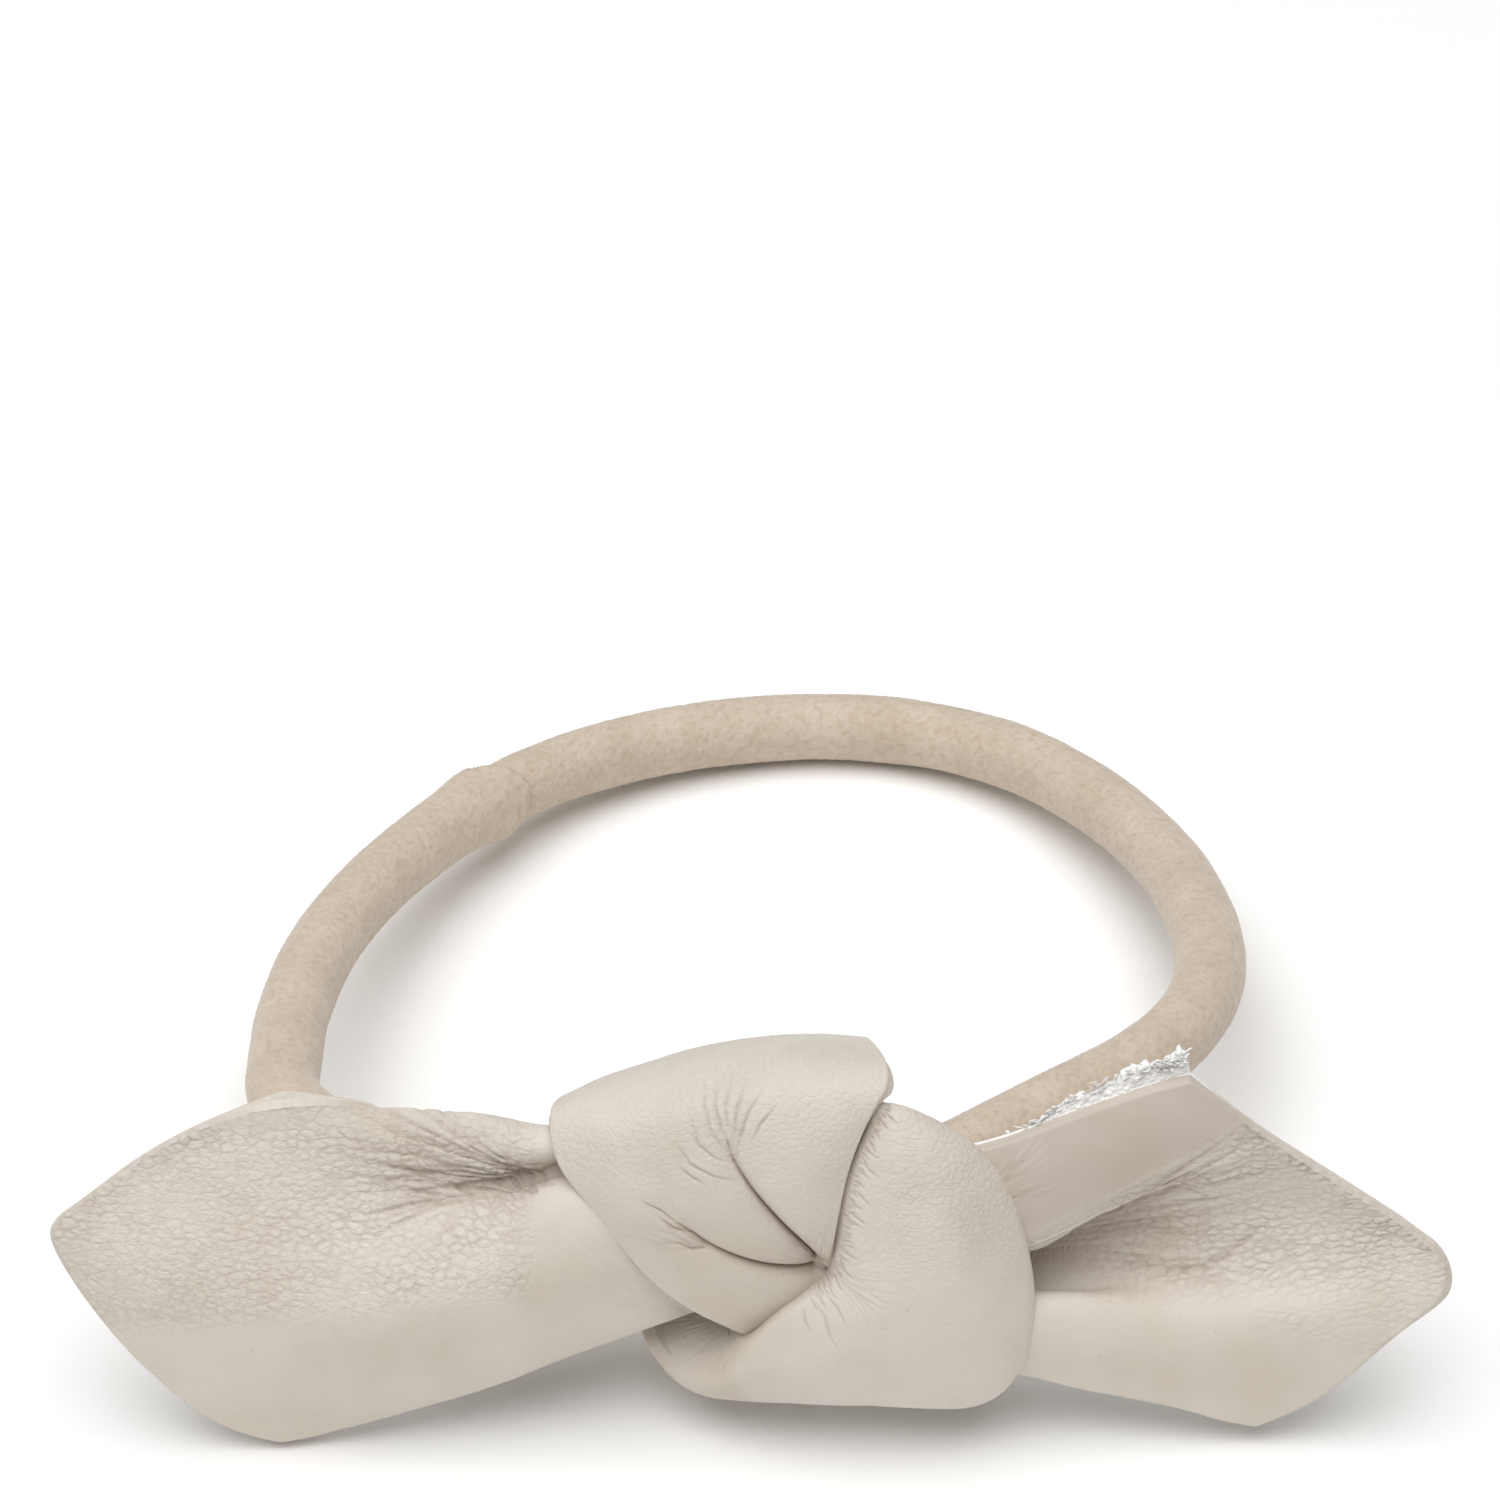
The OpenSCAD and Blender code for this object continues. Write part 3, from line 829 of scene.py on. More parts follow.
def leather_face():
    """Cream nappa with pores, micro wrinkles, deeper valleys and painted shade in its creases."""
    material, tree, shader = material_with(
        "nappa_face", Roughness=0.58, Specular_IOR_Level=0.35, Sheen_Weight=0.06, Sheen_Roughness=0.5)
    position = object_position(tree)
    clouds = noise(tree, position, 160, 3).outputs["Fac"]
    base = ramp(tree, clouds, [(0.3, CREAM_DEEP), (0.62, CREAM)])
    crease_shade_mark = add(tree, "ShaderNodeAttribute", attribute_name="crease").outputs["Fac"]
    # Painted shade: where the crease mark is high, the cream is mixed towards a dark brown.
    base = mixed(tree, crease_shade_mark, base, CREVICE_SHADE)
    specks = add(tree, "ShaderNodeTexVoronoi", {"Vector": position, "Scale": 700}).outputs["Distance"]
    pin_pricks = ramp(tree, specks, [(0.02, (0.84, 0.80, 0.76)), (0.07, (1, 1, 1))])
    base = mixed(tree, 1.0, base, pin_pricks, "MULTIPLY")
    tree.links.new(base, shader.inputs["Base Color"])
    grain_mark = add(tree, "ShaderNodeAttribute", attribute_name="grain").outputs["Fac"]
    cell_inputs = {"Vector": object_position(tree, (0.75, 1.1, 1.1)), "Scale": 2300}
    cells = add(tree, "ShaderNodeTexVoronoi", cell_inputs, feature="DISTANCE_TO_EDGE").outputs["Distance"]
    valleys = add(tree, "ShaderNodeMapRange", {"Value": cells, "From Max": 0.18}).outputs["Result"]
    weighted = add(tree, "ShaderNodeMath", {0: valleys, 1: grain_mark}, operation="MULTIPLY").outputs[0]
    skin = noise(tree, position, 5200, 4).outputs["Fac"]
    soft = noise(tree, position, 900, 3).outputs["Fac"]
    bumped(tree, shader, [(soft, 0.25, 0.00012), (weighted, 0.5, 0.00006), (skin, 0.22, 0.00003)])
    return material


# %% Flesh side and raw edge
def flesh_side():
    """The back of the leather: white, napped and without shine."""
    material, tree, shader = material_with(
        "nappa_flesh", Roughness=0.95, Specular_IOR_Level=0.1, Sheen_Weight=0.35, Sheen_Roughness=0.6)
    position = object_position(tree)
    nap = noise(tree, position, 3200, 6).outputs["Fac"]
    clouds = noise(tree, position, 420, 4).outputs["Fac"]
    tone = ramp(tree, clouds, [(0.3, (0.70, 0.675, 0.64)), (0.65, FLESH_WHITE)])
    shaded = ramp(tree, nap, [(0.3, (0.86, 0.85, 0.84)), (0.6, (1, 1, 1))])
    tree.links.new(mixed(tree, 1.0, tone, shaded, "MULTIPLY"), shader.inputs["Base Color"])
    bumped(tree, shader, [(clouds, 0.5, 0.0002), (nap, 0.7, 0.00012)])
    return material


def raw_edge():
    """The edge: burnished and cream where it was cut clean, and white where it is torn."""
    material, tree, shader = material_with("nappa_raw_edge", Roughness=0.9, Specular_IOR_Level=0.15)
    fibres = noise(tree, object_position(tree, (0.5, 1, 1)), 4200, 5).outputs["Fac"]
    torn = ramp(tree, fibres, [(0.3, FLESH_WHITE), (0.62, FIBRE_WHITE)])
    burnished = ramp(tree, fibres, [(0.3, CREAM_DEEP), (0.62, CREAM)])
    raw = add(tree, "ShaderNodeAttribute", attribute_name="raw").outputs["Fac"]
    tree.links.new(mixed(tree, raw, burnished, torn), shader.inputs["Base Color"])
    bumped(tree, shader, [(fibres, 0.6, 0.0001)])
    return material


leather = [leather_face(), flesh_side(), raw_edge()]
print("leather materials:", [m.name for m in leather])

# %% [markdown]
# ## The left tail
#
# The left end of the strip comes out from under the knot folded along its middle: a
# rolled ridge above, then a valley, then a wide lobe in front. A finger's width further
# the fold has opened and the leather lies nearly flat, with a belly where it turns down.
# Its end is cut to a blunt point.
#
# A cloth simulation could find such a shape, but not this one: leather keeps the folds
# that a hand put in it. So the folds are drawn with pins. Each row of pins runs across
# the strip from its upper edge to its lower, and the last row lies on the cut.

# %% Pins of the left tail
TAIL_LEFT_NET = [
    [(-5.5, 3.4, 2.2), (-5.5, 4.5, 3.6), (-5.5, 3.4, 4.6), (-5.5, 1.9, 3.6), (-5.2, 2, 4.6),
     (-5, -0.4, 5.4), (-4.4, -3.2, 5.4), (-2.9, -5.7, 4.6), (-2.2, -6.9, 3.7), (-2.2, -6.9, 3.2)],
    [(-11.2, 3.2, 2), (-11.3, 4.2, 3.6), (-11.6, 3, 5.1), (-12, 1.2, 4.1), (-11.6, 1.5, 5.2),
     (-11.2, -0.2, 6.6), (-11, -3.8, 7.3), (-10.6, -7.7, 6), (-10.2, -9.5, 4.7), (-10, -9.5, 4)],
    [(-15.2, 4, 2.2), (-15.2, 4.8, 3.5), (-15.5, 3, 4.9), (-15.9, 0.8, 4.2), (-15.6, 0.2, 4.9),
     (-15.3, -1.8, 6.6), (-15.3, -5.2, 7.8), (-15, -9.3, 6.3), (-14.7, -11.4, 4.7), (-14.6, -11.5, 3.8)],
    [(-20, 5.1, 3.3), (-20.4, 5.2, 3.7), (-20.8, 3.4, 4.5), (-21.1, 1.2, 4.5), (-21.1, -0.8, 5.1),
     (-21, -3.2, 6.6), (-20.8, -6.4, 7.9), (-20.4, -10.7, 6.3), (-20, -13.1, 4.6), (-19.8, -13.1, 3.9)],
    [(-23.5, 5.5, 3.8), (-25.6, 4.9, 4), (-28, 3.6, 4.1), (-29.6, 1.5, 4.6), (-30.2, -0.7, 5.2),
     (-30.2, -3.2, 6.3), (-29, -6.6, 7.3), (-26.9, -11.1, 6), (-24.8, -14, 4.7), (-24, -14.55, 4.3)],
    [(-26.8, 5.4, 4.1), (-30.5, 4.7, 4), (-34.9, 2.5, 4.1), (-38.2, 0.2, 4.3), (-40.2, -1.2, 4.6),
     (-40.5, -3, 4.9), (-37.8, -7.4, 5.4), (-34.4, -11.3, 5.2), (-31, -14, 4.8), (-27.4, -15.2, 4.5)],
]


# %% Left tail
def left_tail():
    """The left end of the strip, folded at the knot and flat at its cut."""
    rng = np.random.default_rng(11)
    grid = fine_grid(TAIL_LEFT_NET, 64, 33)
    a, b = grid[..., 0], grid[..., 1]
    valley = [(-20.5, -0.3), (-17.4, 0.1), (-14.6, 0.5), (-12.6, 1.1), (-10.5, 2)]
    main = crease(grid, valley, 0.4, 0.3, 0.5)
    lines = fan(rng, (-15, 0.4), 176, 22, 12, 9) + fan(rng, (-11.6, 1.4), 176, 16, 6, 5)
    fine = wrinkles(grid, lines, 0.14, 0.09)
    fine += 0.24 * gathered(grid, (-12, 0.8), 166, 36, 15, 13, 2.0)
    fine += 0.2 * gathered(grid, (-11, 1.2), 178, 14, 9, 7, 9.0)
    fine += 0.09 * gathered(grid, (-2.5, -8), 128, 46, 13, 44, 4.0) * gate(a + 0.6 * b, -15, -12.5)
    grained = gate(b - 0.12 * (a + 30), -8.2, -5.6) * gate(a, -11.5, -13.5)
    grained = grained * (0.5 + 0.5 * gate(b, 5.4, 2.8))
    grain = pebbles(grid, 0.45, 1.7, -14, 4.0)
    height = main + fine + 0.085 * grain * grained
    height += 0.05 * soft_noise(grid[..., :2] * 0.8, 2)
    # Painted shade: the crease mark darkens creases, wrinkles and grain valleys, and the valley under the
    # rolled ridge.
    valley_shade = np.exp(-(along_line(grid, valley[1:])[0] / 0.9) ** 2) * gate(a, -19, -13)
    shade = -0.5 * main - 1.4 * fine - 0.34 * grain * grained + 0.22 * valley_shade
    marks = {"crease": np.clip(shade, 0, 0.5), "grain": grained}
    return leather_piece("left_tail", grid, height, leather, marks=marks)


tail_left = left_tail()

# %% [markdown]
# ## The right tail
#
# The right end is cupped. Its upper part folds forward like a collar, so we see its
# shaded face, and above it the torn white edge. Behind the collar is a dark hollow. Below
# the hollow the leather comes forward again over a round ridge and turns down.

# %% Pins of the right tail
TAIL_RIGHT_NET = [
    [(9, 2.4, 5.2), (9, 0.6, 5.4), (9, -1.6, 5.2), (9, -3.2, 4.6), (9, -3.4, 3.4), (9, -4, 2.2),
     (9, -4.8, 2.6), (9, -5.6, 4), (9, -6.4, 5.2), (9, -8.2, 5.4), (9, -10, 4.2)],
    [(14.2, 3.9, 5.8), (14.8, 1.7, 6.2), (15.4, -1.5, 5.8), (15.8, -3.5, 4.8), (15.8, -3.2, 3.2),
     (15.8, -4, 1.6), (15.8, -6.8, 1.7), (16, -5.8, 3.9), (16, -5.9, 5.6), (16, -8.3, 6.1), (16, -11.1, 4.6)],
    [(18.4, 5.5, 5.8), (19.2, 2.9, 6.1), (19.9, 0.3, 5.4), (20.2, -1.2, 4.5), (20.2, -0.9, 3.3),
     (20, -2, 1.7), (19.8, -6.3, 2), (19.8, -5.8, 4), (19.8, -6, 5.5), (19.6, -8.7, 6.1), (19.4, -12, 4.6)],
    [(22.2, 6.7, 5.3), (23.6, 4.5, 5.4), (24.4, 2.2, 4.8), (24.9, 0.7, 4.2), (25, 0, 3.5),
     (25, -1.8, 2.6), (25, -4.4, 2.8), (25, -5.8, 4.1), (25, -6.8, 5.3), (24.8, -9.4, 5.8), (24.4, -13, 4.6)],
    [(24.2, 7.2, 5.2), (26.9, 4.9, 4.9), (29.5, 2.2, 4.2), (31, 0.7, 3.7), (31.7, -0.4, 3.4),
     (32.1, -2, 3.3), (32.2, -4, 3.7), (31.9, -5.7, 4.6), (31.2, -7.3, 5.4), (30, -9.9, 5.4), (27.4, -14, 4.4)],
    [(25.3, 7.4, 5.2), (30, 3.6, 4.6), (35, 0, 4), (37.4, -1.5, 3.9), (39.2, -2.9, 3.9), (40.4, -3.9, 3.9),
     (40.8, -5.1, 4.1), (40.3, -6.4, 4.5), (37.6, -8.5, 4.9), (33.6, -12.4, 4.7), (29.6, -14.4, 4.2)],
]


# %% Right tail
right_grid = fine_grid(TAIL_RIGHT_NET, 58, 27)


def right_tail(grid):
    """The right end of the strip, cupped, with a collar above and a ridge below."""
    rng = np.random.default_rng(23)
    a, b = grid[..., 0], grid[..., 1]
    lines = fan(rng, (18, -3.2), 12, 14, 10, 10) + fan(rng, (22, -0.6), 22, 18, 8, 10)
    fine = wrinkles(grid, lines, 0.13, 0.09)
    fine += 0.2 * gathered(grid, (12, -4.4), 12, 20, 24, 15, 3.0)
    fine += 0.12 * gathered(grid, (13, 0), 36, 40, 7, 14, 6.0)
    fine += 0.1 * gathered(grid, (20, -2), 30, 16, 14, 9, 8.0)
    ripples = [[(21, -4.9), (24, -5), (26.5, -4.6), (28, -3.8), (29, -2.8), (31, -1.4)],
               [(21.5, -1.2), (24, -0.2), (26.4, 1.2), (28, 1.6)]]
    ripple = wrinkles(grid, ripples, 0.16, 0.13)
    above_collar_fold = b - 0.5 * (a - 17.5)
    band = gate(b, -7.5, -4.5) * gate(above_collar_fold, -0.2, -2.2)
    outer = 0.45 * gate(b + 0.3 * (a - 30), -8.5, -7) * gate(a, 26, 33)
    grained = np.maximum(band, outer) * gate(a, 16.5, 23)
    grain = pebbles(grid, 0.4, 2.0, 12, 9.0)
    height = fine + ripple + 0.11 * grain * grained + 0.05 * soft_noise(grid[..., :2] * 0.7, 6)
    # Painted shade: the crease mark darkens wrinkles, ripples and grain valleys, the hollow behind the collar,
    # and the collar's face, which is turned from the light.
    hollow_shade = gate(grid[..., 2], 4.6, 1.8) * gate(b, 1.5, 0) * gate(b, -6, -4.6) * gate(a, 25, 15)
    collar_shade = gate(above_collar_fold, -2.2, -0.2)
    shade = -1.3 * (fine + ripple) - 0.3 * grain * grained + 0.2 * hollow_shade + 0.28 * collar_shade
    marks = {"crease": np.clip(shade, 0, 0.55), "grain": grained}
    marks["raw"] = gate(np.arange(grid.shape[1]), 12, 0) * np.ones(grid.shape[:2])
    return leather_piece("right_tail", grid, height, leather, side=-1, marks=marks)


tail_right = right_tail(right_grid)

# %% [markdown]
# ## The torn edge
#
# The upper edge of this end wasn't cut clean. It is torn, and its white fibres stand up
# behind the collar, more of them towards the corner. Hair particles could make single
# fibres, but these are matted. So most of them are one ragged, lumpy band, which is a thin
# piece of leather of its own, and in front of it stand loose tufts.

# %% Where the torn edge is
TORN_FROM_ROW = 66

torn_edge = right_grid[TORN_FROM_ROW:, 0]
torn_normals = -normals_of(right_grid)[TORN_FROM_ROW:, 2]
torn_length = np.linalg.norm(np.diff(torn_edge, axis=0), axis=1).sum()
print("the torn edge is", round(float(torn_length), 1), "mm long")


def torn_height(place):
    """How far the fibres stand up, in millimetres, by the share of the way to the corner."""
    return 0.35 + 1.25 * gate(place, 0.02, 0.4) + 0.35 * gate(place, 0.82, 0.95)


def beside(along, normals):
    """Two directions beside an edge line: back from the face, and up past the edge."""
    inward = -normals
    upward = np.cross(along, inward)
    return inward, upward * np.sign(upward[..., 1:2])


# %% Matted band
MAT_T = 0.45


def matted_band(name, edge, normals, material):
    """The thick of the torn fibres: a ragged, lumpy band that stands up behind an edge line."""
    place = np.linspace(0, 1, len(edge))
    along = np.gradient(edge, axis=0)
    along /= np.linalg.norm(along, axis=1, keepdims=True)
    inward, upward = beside(along, normals)
    steps = np.cumsum(np.linalg.norm(np.diff(edge, axis=0, prepend=edge[:1]), axis=1))
    flat = np.stack([steps, 0 * steps], -1)
    ragged = 0.72 + 0.3 * soft_noise(flat * 2.2, 3) + 0.13 * soft_noise(flat * 7, 5)
    reach = torn_height(place) * np.clip(ragged, 0.2, 1.2)
    share = np.linspace(-0.5, 1, 48)
    rise = np.where(share < 0, 0.9 * share, share)[None, :] * np.where(share < 0, 1, reach[:, None])
    depth = 0.6 + 0.12 * share[None, :, None] ** 2
    grid = edge[:, None] + upward[:, None] * rise[..., None] + inward[:, None] * depth
    p = np.stack([np.broadcast_to(steps[:, None], rise.shape), rise], -1)
    near, second = cell_noise(p / (0.42, 0.3), 8.0)
    lumps = 0.07 * (0.5 - near) + 0.06 * soft_noise(p * 4.5, 2)
    height = lumps - 0.04 * np.exp(-((second - near) / 0.3) ** 2)
    marks = {"raw": np.ones(rise.shape)}
    return leather_piece(name, grid, height, [material] * 3, thickness=MAT_T, marks=marks)


band_edge = smooth_curve(torn_edge, 3)
band_normals = smooth_curve(torn_normals, 3)
mat = matted_band("right_tail_raw_edge", band_edge, band_normals, leather[EDGE])

# %% [markdown]
# Each tuft is a small bent blade: a few rings of points round a curved middle line, each
# ring a little thicker or thinner than the last.

# %% Loose tufts
TUFTS = 170
TUFT_RINGS = 6
TUFT_SIDES = 6


def one_tuft(rng, edge, normals):
    """Points of one blade that stands behind the edge."""
    place = rng.uniform(0, 1) ** 0.85
    i = int(place * (len(edge) - 2))
    along = edge[i + 1] - edge[i]
    along = along / np.linalg.norm(along)
    inward, upward = beside(along, normals[i])
    reach = rng.uniform(0.15, 0.38)
    top = 0.8 * torn_height(place)
    width = rng.uniform(0.08, 0.17)
    root = edge[i] + inward * rng.uniform(0.4, 1.0) + upward * top * rng.uniform(0.35, 0.9)
    lean = upward * rng.uniform(0.2, 1) + along * rng.normal(-0.15, 0.9)
    lean = lean - inward * rng.uniform(-0.2, 0.5)
    curl = along * rng.normal(0, 0.9) + inward * rng.normal(0.2, 0.5) - upward * rng.uniform(0, 0.5)
    turn = circle(TUFT_SIDES)
    ring = np.outer(np.cos(turn), along) + 0.6 * np.outer(np.sin(turn), inward)
    blade = []
    for r in range(TUFT_RINGS):
        t = r / (TUFT_RINGS - 1)
        middle = root + (lean * t + curl * t * t * 0.6) * reach
        thick = width * (1 - 0.45 * t ** 3) * rng.uniform(0.6, 1.35)
        blade.append(middle + thick * ring)
    return np.concatenate(blade)


def tuft_faces(first):
    """Faces of the blade whose points start at this number: its sides and its two ends."""
    faces = []
    for r in range(TUFT_RINGS - 1):
        low = first + r * TUFT_SIDES
        high = low + TUFT_SIDES
        for c in range(TUFT_SIDES):
            d = (c + 1) % TUFT_SIDES
            faces.append([low + c, low + d, high + d, high + c])
    last = first + (TUFT_RINGS - 1) * TUFT_SIDES
    faces.append([first + c for c in range(TUFT_SIDES)][::-1])
    faces.append([last + c for c in range(TUFT_SIDES)])
    return faces


def loose_tufts(name, edge, normals, material):
    """Many tufts along an edge line, as one object."""
    rng = np.random.default_rng(17)
    blades = [one_tuft(rng, edge, normals) for k in range(TUFTS)]
    faces = []
    for k in range(TUFTS):
        faces += tuft_faces(k * TUFT_RINGS * TUFT_SIDES)
    points = np.concatenate(blades)
    return mesh_object(name, from_bow(points), faces, [material], {"raw": np.ones(len(points))})


fringe = loose_tufts("right_tail_loose_fibres", torn_edge, torn_normals, leather[EDGE])

# %% [markdown]
# ## The wrap in front
#
# From behind the cord the strip comes over the top of the knot, wide and smooth, and is
# squeezed towards one point, where it dives under the next turn. Two pleats divide it
# into three lobes. The lobes are what is left between the creases, so we pin down a
# plain fan-shaped surface and press the two creases into it.
#
# The first rows of pins are the band behind the cord. A knot shows nothing of the flesh
# side but slivers in its gaps, so both wraps carry the face's finish all over.

# %% Pins of the wrap in front
OVER_NET = [
    [(6, -7.4, 1.4), (3, -7.9, 1.4), (-1, -8.3, 1.4), (-4, -8.2, 1.2), (-5.6, -7.6, 1)],
    [(6.4, -6.2, -2), (3, -6.6, -2.2), (-1, -6.8, -2.2), (-4.6, -6.4, -2), (-6.6, -5.8, -1.8)],
    [(7, -2, -4), (3, -2, -4.2), (-2, -2, -4.2), (-6.6, -2, -4), (-9, -2, -3.8)],
    [(7, 3.2, -4.1), (3, 3.4, -4.3), (-2, 3.2, -4.3), (-7, 2.6, -4), (-10, 2.2, -3.7)],
    [(7, 7.4, -2.4), (3, 7.7, -2.6), (-2, 7.1, -2.6), (-7.2, 5.6, -2.4), (-10.4, 4.3, -2)],
    [(7.4, 8.5, 1.4), (3, 8.7, 1.4), (-2.4, 8.1, 1.4), (-7.8, 6.5, 1.4), (-11.5, 5, 1.6)],
    [(8.1, 8.5, 4.8), (3.2, 8.9, 5), (-2.6, 8.3, 5), (-8, 6.6, 4.8), (-11.8, 5.2, 4)],
    [(8.2, 7.7, 7.1), (3.6, 7.9, 8), (-2.2, 7.1, 8.1), (-7.6, 5.3, 7.2), (-11.8, 4.1, 5)],
    [(7.2, 6.2, 8), (3.9, 5.5, 8.8), (-1.4, 4.3, 8.9), (-6.6, 3, 8), (-11.3, 2.2, 5.6)],
    [(6, 3.2, 8.1), (3.6, 2.4, 8.9), (-1, 1.3, 9), (-5.6, 0.4, 8.2), (-9.7, 0.2, 6)],
    [(5.3, -0.4, 7.9), (3.6, -0.8, 8.5), (0.2, -1.6, 8.6), (-3.6, -2.4, 8), (-7.3, -3.1, 6.2)],
    [(5, -2.8, 7.4), (3.8, -3.3, 7.8), (1.6, -4, 7.7), (-1.2, -4.9, 7.3), (-4.4, -6, 6.2)],
    [(5.2, -4.8, 6), (4.4, -5.2, 6.2), (2.9, -6.1, 6.2), (1.2, -7, 6), (-0.8, -8.1, 5.5)],
    [(4.6, -6, 4), (4, -6.6, 4), (3, -7.8, 3.8), (1.8, -8.9, 3.6), (0.4, -9.7, 3)],
]


# %% Wrap in front
UPPER_PLEAT = [(-1.3, 4.9), (-1, 3.8), (0.1, 1.9), (1.6, -0.1), (3.1, -1.9), (4.4, -3.4)]
LOWER_PLEAT = [(-4.2, -0.2), (-2.8, -1.4), (-1.1, -2.5), (0.7, -3.3), (2.6, -3.9), (4, -4.2)]
PLEAT_WRINKLES = [
    [(-6.4, 1), (-5.2, 0.5), (-4.2, -0.2)], [(-5.3, 0.1), (-4.4, -0.6), (-3.2, -1)],
    [(-4.4, -1.5), (-3.4, -1.9), (-2.2, -1.9)], [(-3.9, -1), (-3, -1.5), (-2.2, -1.9)],
    [(-4.4, 4.9), (-3.4, 3.4), (-2, 2.7), (-0.4, 2.4)], [(-3.4, 6.2), (-3, 4.6), (-2, 3.8), (-1, 3.6)],
    [(-4.2, 3.4), (-3.4, 2.7), (-2.4, 2.2)], [(-2.6, 8.2), (-2.6, 6.6), (-2.2, 5.2), (-1.2, 4)],
    [(-1.9, 8.4), (-2, 6.8), (-1.6, 5.4), (-1, 4.2)], [(-1, 8.2), (-1.4, 6.8), (-1.2, 5)],
    [(-0.2, 8.2), (-0.8, 6.4), (-0.9, 4.6)], [(1, 8), (0, 6.6), (-0.6, 5), (-0.8, 3.6)],
    [(1.6, 7), (0.6, 5.8), (0, 4.6)],
]
wrap_leather = [leather[FACE], leather[FACE], leather[EDGE]]


def over_wrap():
    """The pleated wrap over the top of the knot."""
    grid = fine_grid(OVER_NET, 36, 68)
    pleat_1 = smooth_curve(UPPER_PLEAT, 4)
    pleat_2 = smooth_curve(LOWER_PLEAT, 4)
    front = gate(grid[..., 2], 3, 5)
    main = crease(grid, pleat_1, 1.1, 1.1, 0.35) + crease(grid, pleat_2, 1, 0.4, 1.0)
    sharp = crease(grid, pleat_1, 0.5, 0.09, 0.09, 0.35) + crease(grid, pleat_2, 0.5, 0.09, 0.09, 0.35)
    main = main * front
    branch = wrinkles(grid, PLEAT_WRINKLES, 0.13, 0.05)
    fine = 0.08 * gathered(grid, (-0.9, 3.2), 106, 44, 5.2, 19, 1.0)
    fine += 0.12 * gathered(grid, (-2.2, -1.9), 158, 34, 5, 8, 2.0)
    fine += 0.1 * gathered(grid, (4.4, -3.6), 128, 60, 4.5, 16, 3.0)
    fine = (fine + branch + sharp) * front
    grained = 0.35 + 0.4 * gate(grid[..., 1], -3, 6)
    grain = pebbles(grid, 0.42, 1.3, 70, 2.0)
    height = main + fine + 0.035 * grain * grained + 0.05 * soft_noise(grid[..., :2] * 0.9, 1)
    # Painted shade: the crease mark darkens the pleats, wrinkles and grain valleys, and a spot at the top right
    # corner.
    corner_shade = np.exp(-((grid[..., 0] - 7.9) ** 2 + (grid[..., 1] - 6.1) ** 2) / 0.8) * front
    shade = -0.2 * main - 2.1 * fine - 0.08 * grain * grained + 0.3 * corner_shade
    marks = {"crease": np.clip(shade, 0, 0.75), "grain": grained}
    return leather_piece("over_wrap_leather", grid, height, wrap_leather, side=-1, marks=marks)


wrap_over = over_wrap()

# %% [markdown]
# ## The turning wrap
#
# The strip comes out from under the first wrap at the top right, turns down the right
# side of the knot and runs to the left along its bottom. Its inner edge is rolled in and
# gathered against the first wrap, so short wrinkles stand across that edge.

# %% Pins of the turning wrap
TURN_NET = [
    [(6, 6.5, 4.4), (6.2, 6.6, 5.8), (6.6, 6.6, 6.3), (7.2, 6.6, 6.4),
     (8, 6.4, 6.4), (8.4, 5.8, 5.8), (8, 5, 5)],
    [(6.5, 5.5, 5.2), (6.8, 5.6, 6.8), (7.4, 5.8, 7.2), (8.4, 6, 7.3),
     (9.4, 6, 6.9), (9.9, 5.6, 6), (9.4, 4.8, 4.8)],
    [(5.5, 3.4, 5.6), (5.9, 3.5, 7.2), (6.7, 3.6, 8), (8.6, 3.8, 8.4),
     (10.8, 4, 8.1), (12.7, 4, 6.2), (12.2, 3.4, 4.4)],
    [(4.9, 0.7, 5.6), (5.2, 0.7, 7.2), (6.1, 0.7, 8.2), (8.6, 0.8, 8.9),
     (11.8, 0.8, 8.6), (15, 0.8, 6.2), (14.4, 0.6, 4.2)],
    [(4.6, -1.9, 5.4), (4.9, -2, 7.2), (5.8, -2.1, 8.2), (8.4, -2.4, 9.1),
     (12.4, -3, 8.7), (16.2, -3.8, 6.2), (15.6, -3.6, 4)],
    [(4.4, -3.8, 5.6), (4.6, -4, 7.4), (5.4, -4.6, 8.2), (7.8, -5.9, 9),
     (12, -7.2, 8.4), (16.2, -8.6, 6.2), (15.6, -8.2, 4)],
    [(3.2, -5, 5.8), (3.2, -5.1, 7.5), (3.9, -5.8, 8), (6, -8, 8.4),
     (9, -10, 7.8), (13.4, -12.3, 5.8), (13, -11.8, 3.6)],
    [(1.4, -6.4, 5.8), (1.4, -6.5, 7.3), (1.9, -7.3, 7.7), (3, -9.2, 7.8),
     (4.4, -10.9, 7), (6.4, -12.4, 5.4), (6.4, -11.8, 3)],
    [(-0.4, -8.3, 4.4), (-0.5, -8.4, 6), (-0.3, -8.9, 6.8), (-0.1, -10, 6.9),
     (0, -11.2, 6.2), (0, -12.4, 4.8), (0.4, -11.6, 2.8)],
    [(0.2, -6.2, 1.6), (-0.8, -7.6, 2.4), (-1.8, -9, 3.8), (-2.6, -10.4, 4.7),
     (-3.2, -11.4, 4.6), (-3.6, -12, 3.8), (-3.2, -11.3, 2.2)],
    [(-1, -5.2, 0.6), (-2.2, -6.8, 1.2), (-3.4, -8.2, 1.9), (-4.6, -9.2, 2.4),
     (-5.4, -9.7, 2.5), (-6, -10, 2.3), (-5.4, -9.4, 1.2)],
    [(-2.2, -4.2, 0), (-3.6, -5.6, 0.3), (-4.8, -6.5, 0.7), (-5.8, -7.2, 1.1),
     (-6.2, -7.4, 1.3), (-6.8, -7.6, 1.3), (-6.2, -7, 0.6)],
]


# %% Turning wrap
INNER_EDGE = [(7.7, 6.6), (6.3, 3.6), (5.5, 0.6), (5.1, -1.8), (4.7, -3.4), (3.4, -5)]


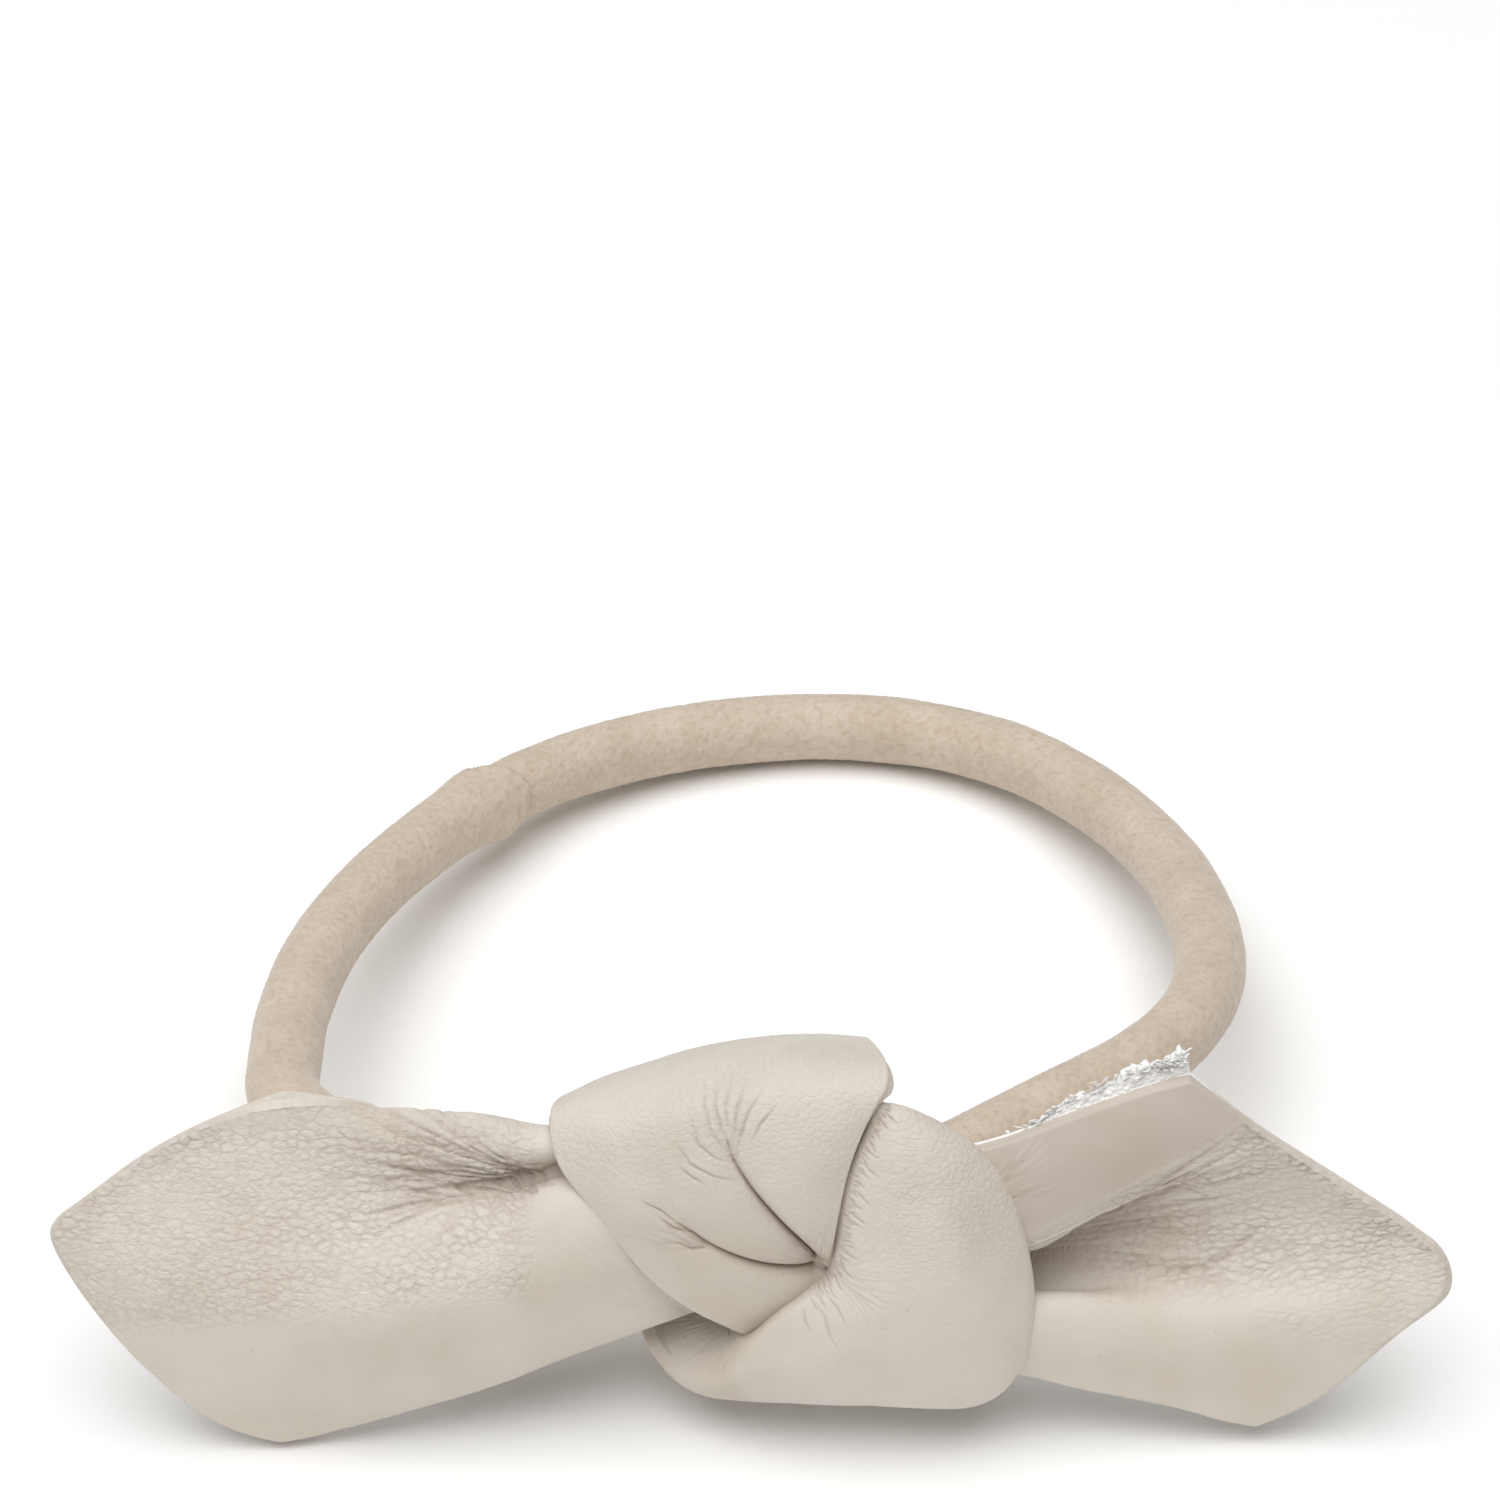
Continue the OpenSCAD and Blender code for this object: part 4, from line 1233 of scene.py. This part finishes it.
def turn_wrap():
    """The wrap that turns down the right side and along the bottom."""
    rng = np.random.default_rng(7)
    grid = fine_grid(TURN_NET, 46, 46, 0.16)
    lines = comb(rng, INNER_EDGE, 26, 1.5, 0.3) + comb(rng, INNER_EDGE, 60, 0.7, 0.1)
    lines += [[(3.6, -5), (4.3, -6), (4.6, -7.2), (5.2, -8.2)], [(3, -5.4), (3.2, -6.4), (3.6, -7.2)],
              [(4.2, -4.6), (5, -5.4), (5.6, -6.6)]]
    fine = wrinkles(grid, lines, 0.1, 0.05)
    tucked = gate(grid[..., 0] + 0.5 * grid[..., 1], -5.5, -6.6)
    fine += 0.08 * gathered(grid, (-0.8, -7.8), 205, 75, 6.5, 30, 5.0) * tucked
    fine += 0.06 * gathered(grid, (4.6, -3.4), -8, 80, 6, 22, 7.0)
    grained = 0.25 + 0.6 * gate(grid[..., 1], -7, 1) * gate(grid[..., 0], 6, 9)
    grain = pebbles(grid, 0.45, 1.2, 20, 6.0)
    height = fine + 0.035 * grain * grained + 0.06 * soft_noise(grid[..., :2] * 0.8, 8)
    # Painted shade: the crease mark darkens wrinkles and grain valleys, and the tucked part at the lower left,
    # which lies in the shadow of the first wrap and the left tail.
    shade = -2.2 * fine - 0.07 * grain * grained + 0.1 * tucked
    marks = {"crease": np.clip(shade, 0, 0.5), "grain": grained}
    return leather_piece("turn_wrap_leather", grid, height, wrap_leather, marks=marks)


wrap_turn = turn_wrap()

# %% [markdown]
# ## What moves with what
#
# Each piece takes the place of the parts of the CAD model that it stands for, which are
# hidden. The knot's two wraps are tight and ride on it whole. A tail is soft: its root
# stays in the knot while its end swings. Here the tails, the torn edge and its loose fibres
# are only fixed where they are, and the place beside the knot where each tail begins to bend is printed.

# %% Who carries what
for piece, nodes in ((tail_left, ("tail_left", "left_run")), (tail_right, ("tail_right", "right_run")),
                     (wrap_over, ("over_wrap", "back_band")), (wrap_turn, ("turn_wrap",))):
    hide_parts(*nodes)
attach(wrap_over, "knot")
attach(wrap_turn, "knot")

left_bend = [tuple(from_bow((a, 0, 5))) for a in (-10.6, -14.6)]
right_bend = [tuple(from_bow((a, 0, 5))) for a in (15.6, 19.6)]
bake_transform(tail_left)
for piece in (tail_right, mat, fringe):
    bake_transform(piece)
for side, bend in (("left", left_bend), ("right", right_bend)):
    print("the", side, "tail begins to bend", round(abs(1000 * bend[0][0]), 1), "mm from the middle")

# %% [markdown]
# Leather doesn't stretch, so each stretch of the strip keeps its flat size when it is
# folded; each piece prints the area that it covers and its length. The tails are wide and
# pointed, so their area is less than width times length. The wraps are narrower, because
# the strip is squeezed in the knot.

# %% [markdown]
# ## The table
#
# The floor is plain, pale and matt, so it takes a soft shadow and nothing else. It lies a
# hair below the object, because two faces in one plane would flicker.

# %% Floor
FLOOR_REACH = 3
FLOOR_DROP = 0.0002
PAPER_WHITE = (0.97, 0.968, 0.96, 1)

corners = [(-1, -1), (1, -1), (1, 1), (-1, 1)]
floor_points = np.array([(FLOOR_REACH * x, FLOOR_REACH * y, 0) for x, y in corners])
paper, paper_tree, paper_shader = material_with("pale_floor", Roughness=0.8, Specular_IOR_Level=0.1)
paper_shader.inputs["Base Color"].default_value = PAPER_WHITE
floor = mesh_object("floor", floor_points, [[0, 1, 2, 3]], [paper])
floor.location.z = -FLOOR_DROP

# %% [markdown]
# ## Light
#
# A wide disc overhead, a little to the left, gives the soft shadows of a light tent. A
# second, warm one low in front lifts the leather's lower side, as a cream table top would.
# The world fills the rest. The picture's tones are left as they are, since a film-like
# curve would turn the white floor grey.

# %% Studio light
def soft_light(name, size, power, colour, place):
    """A round area light that looks at the object."""
    data = bpy.data.lights.new(name, "AREA")
    data.shape = "DISK"
    data.size = size
    data.energy = power
    data.color = colour
    light = bpy.data.objects.new(name, data)
    bpy.context.collection.objects.link(light)
    light.location = place
    towards = Vector((0, 0, 0.01)) - Vector(place)
    light.rotation_euler = towards.to_track_quat("-Z", "Y").to_euler()
    print(name, "light is", round(towards.length, 2), "m away")


soft_light("key", 1.3, 11.2, (0.98, 0.985, 1), (-0.12, -0.14, 0.95))
soft_light("fill", 0.8, 0.3, (1, 0.80, 0.42), (0.1, -1.1, 0.1))

world = bpy.data.worlds.new("studio")
world.use_nodes = True
background = world.node_tree.nodes["Background"]
background.inputs["Color"].default_value = (1, 0.985, 0.95, 1)
background.inputs["Strength"].default_value = 0.29
bpy.context.scene.world = world
bpy.context.scene.view_settings.view_transform = "Standard"
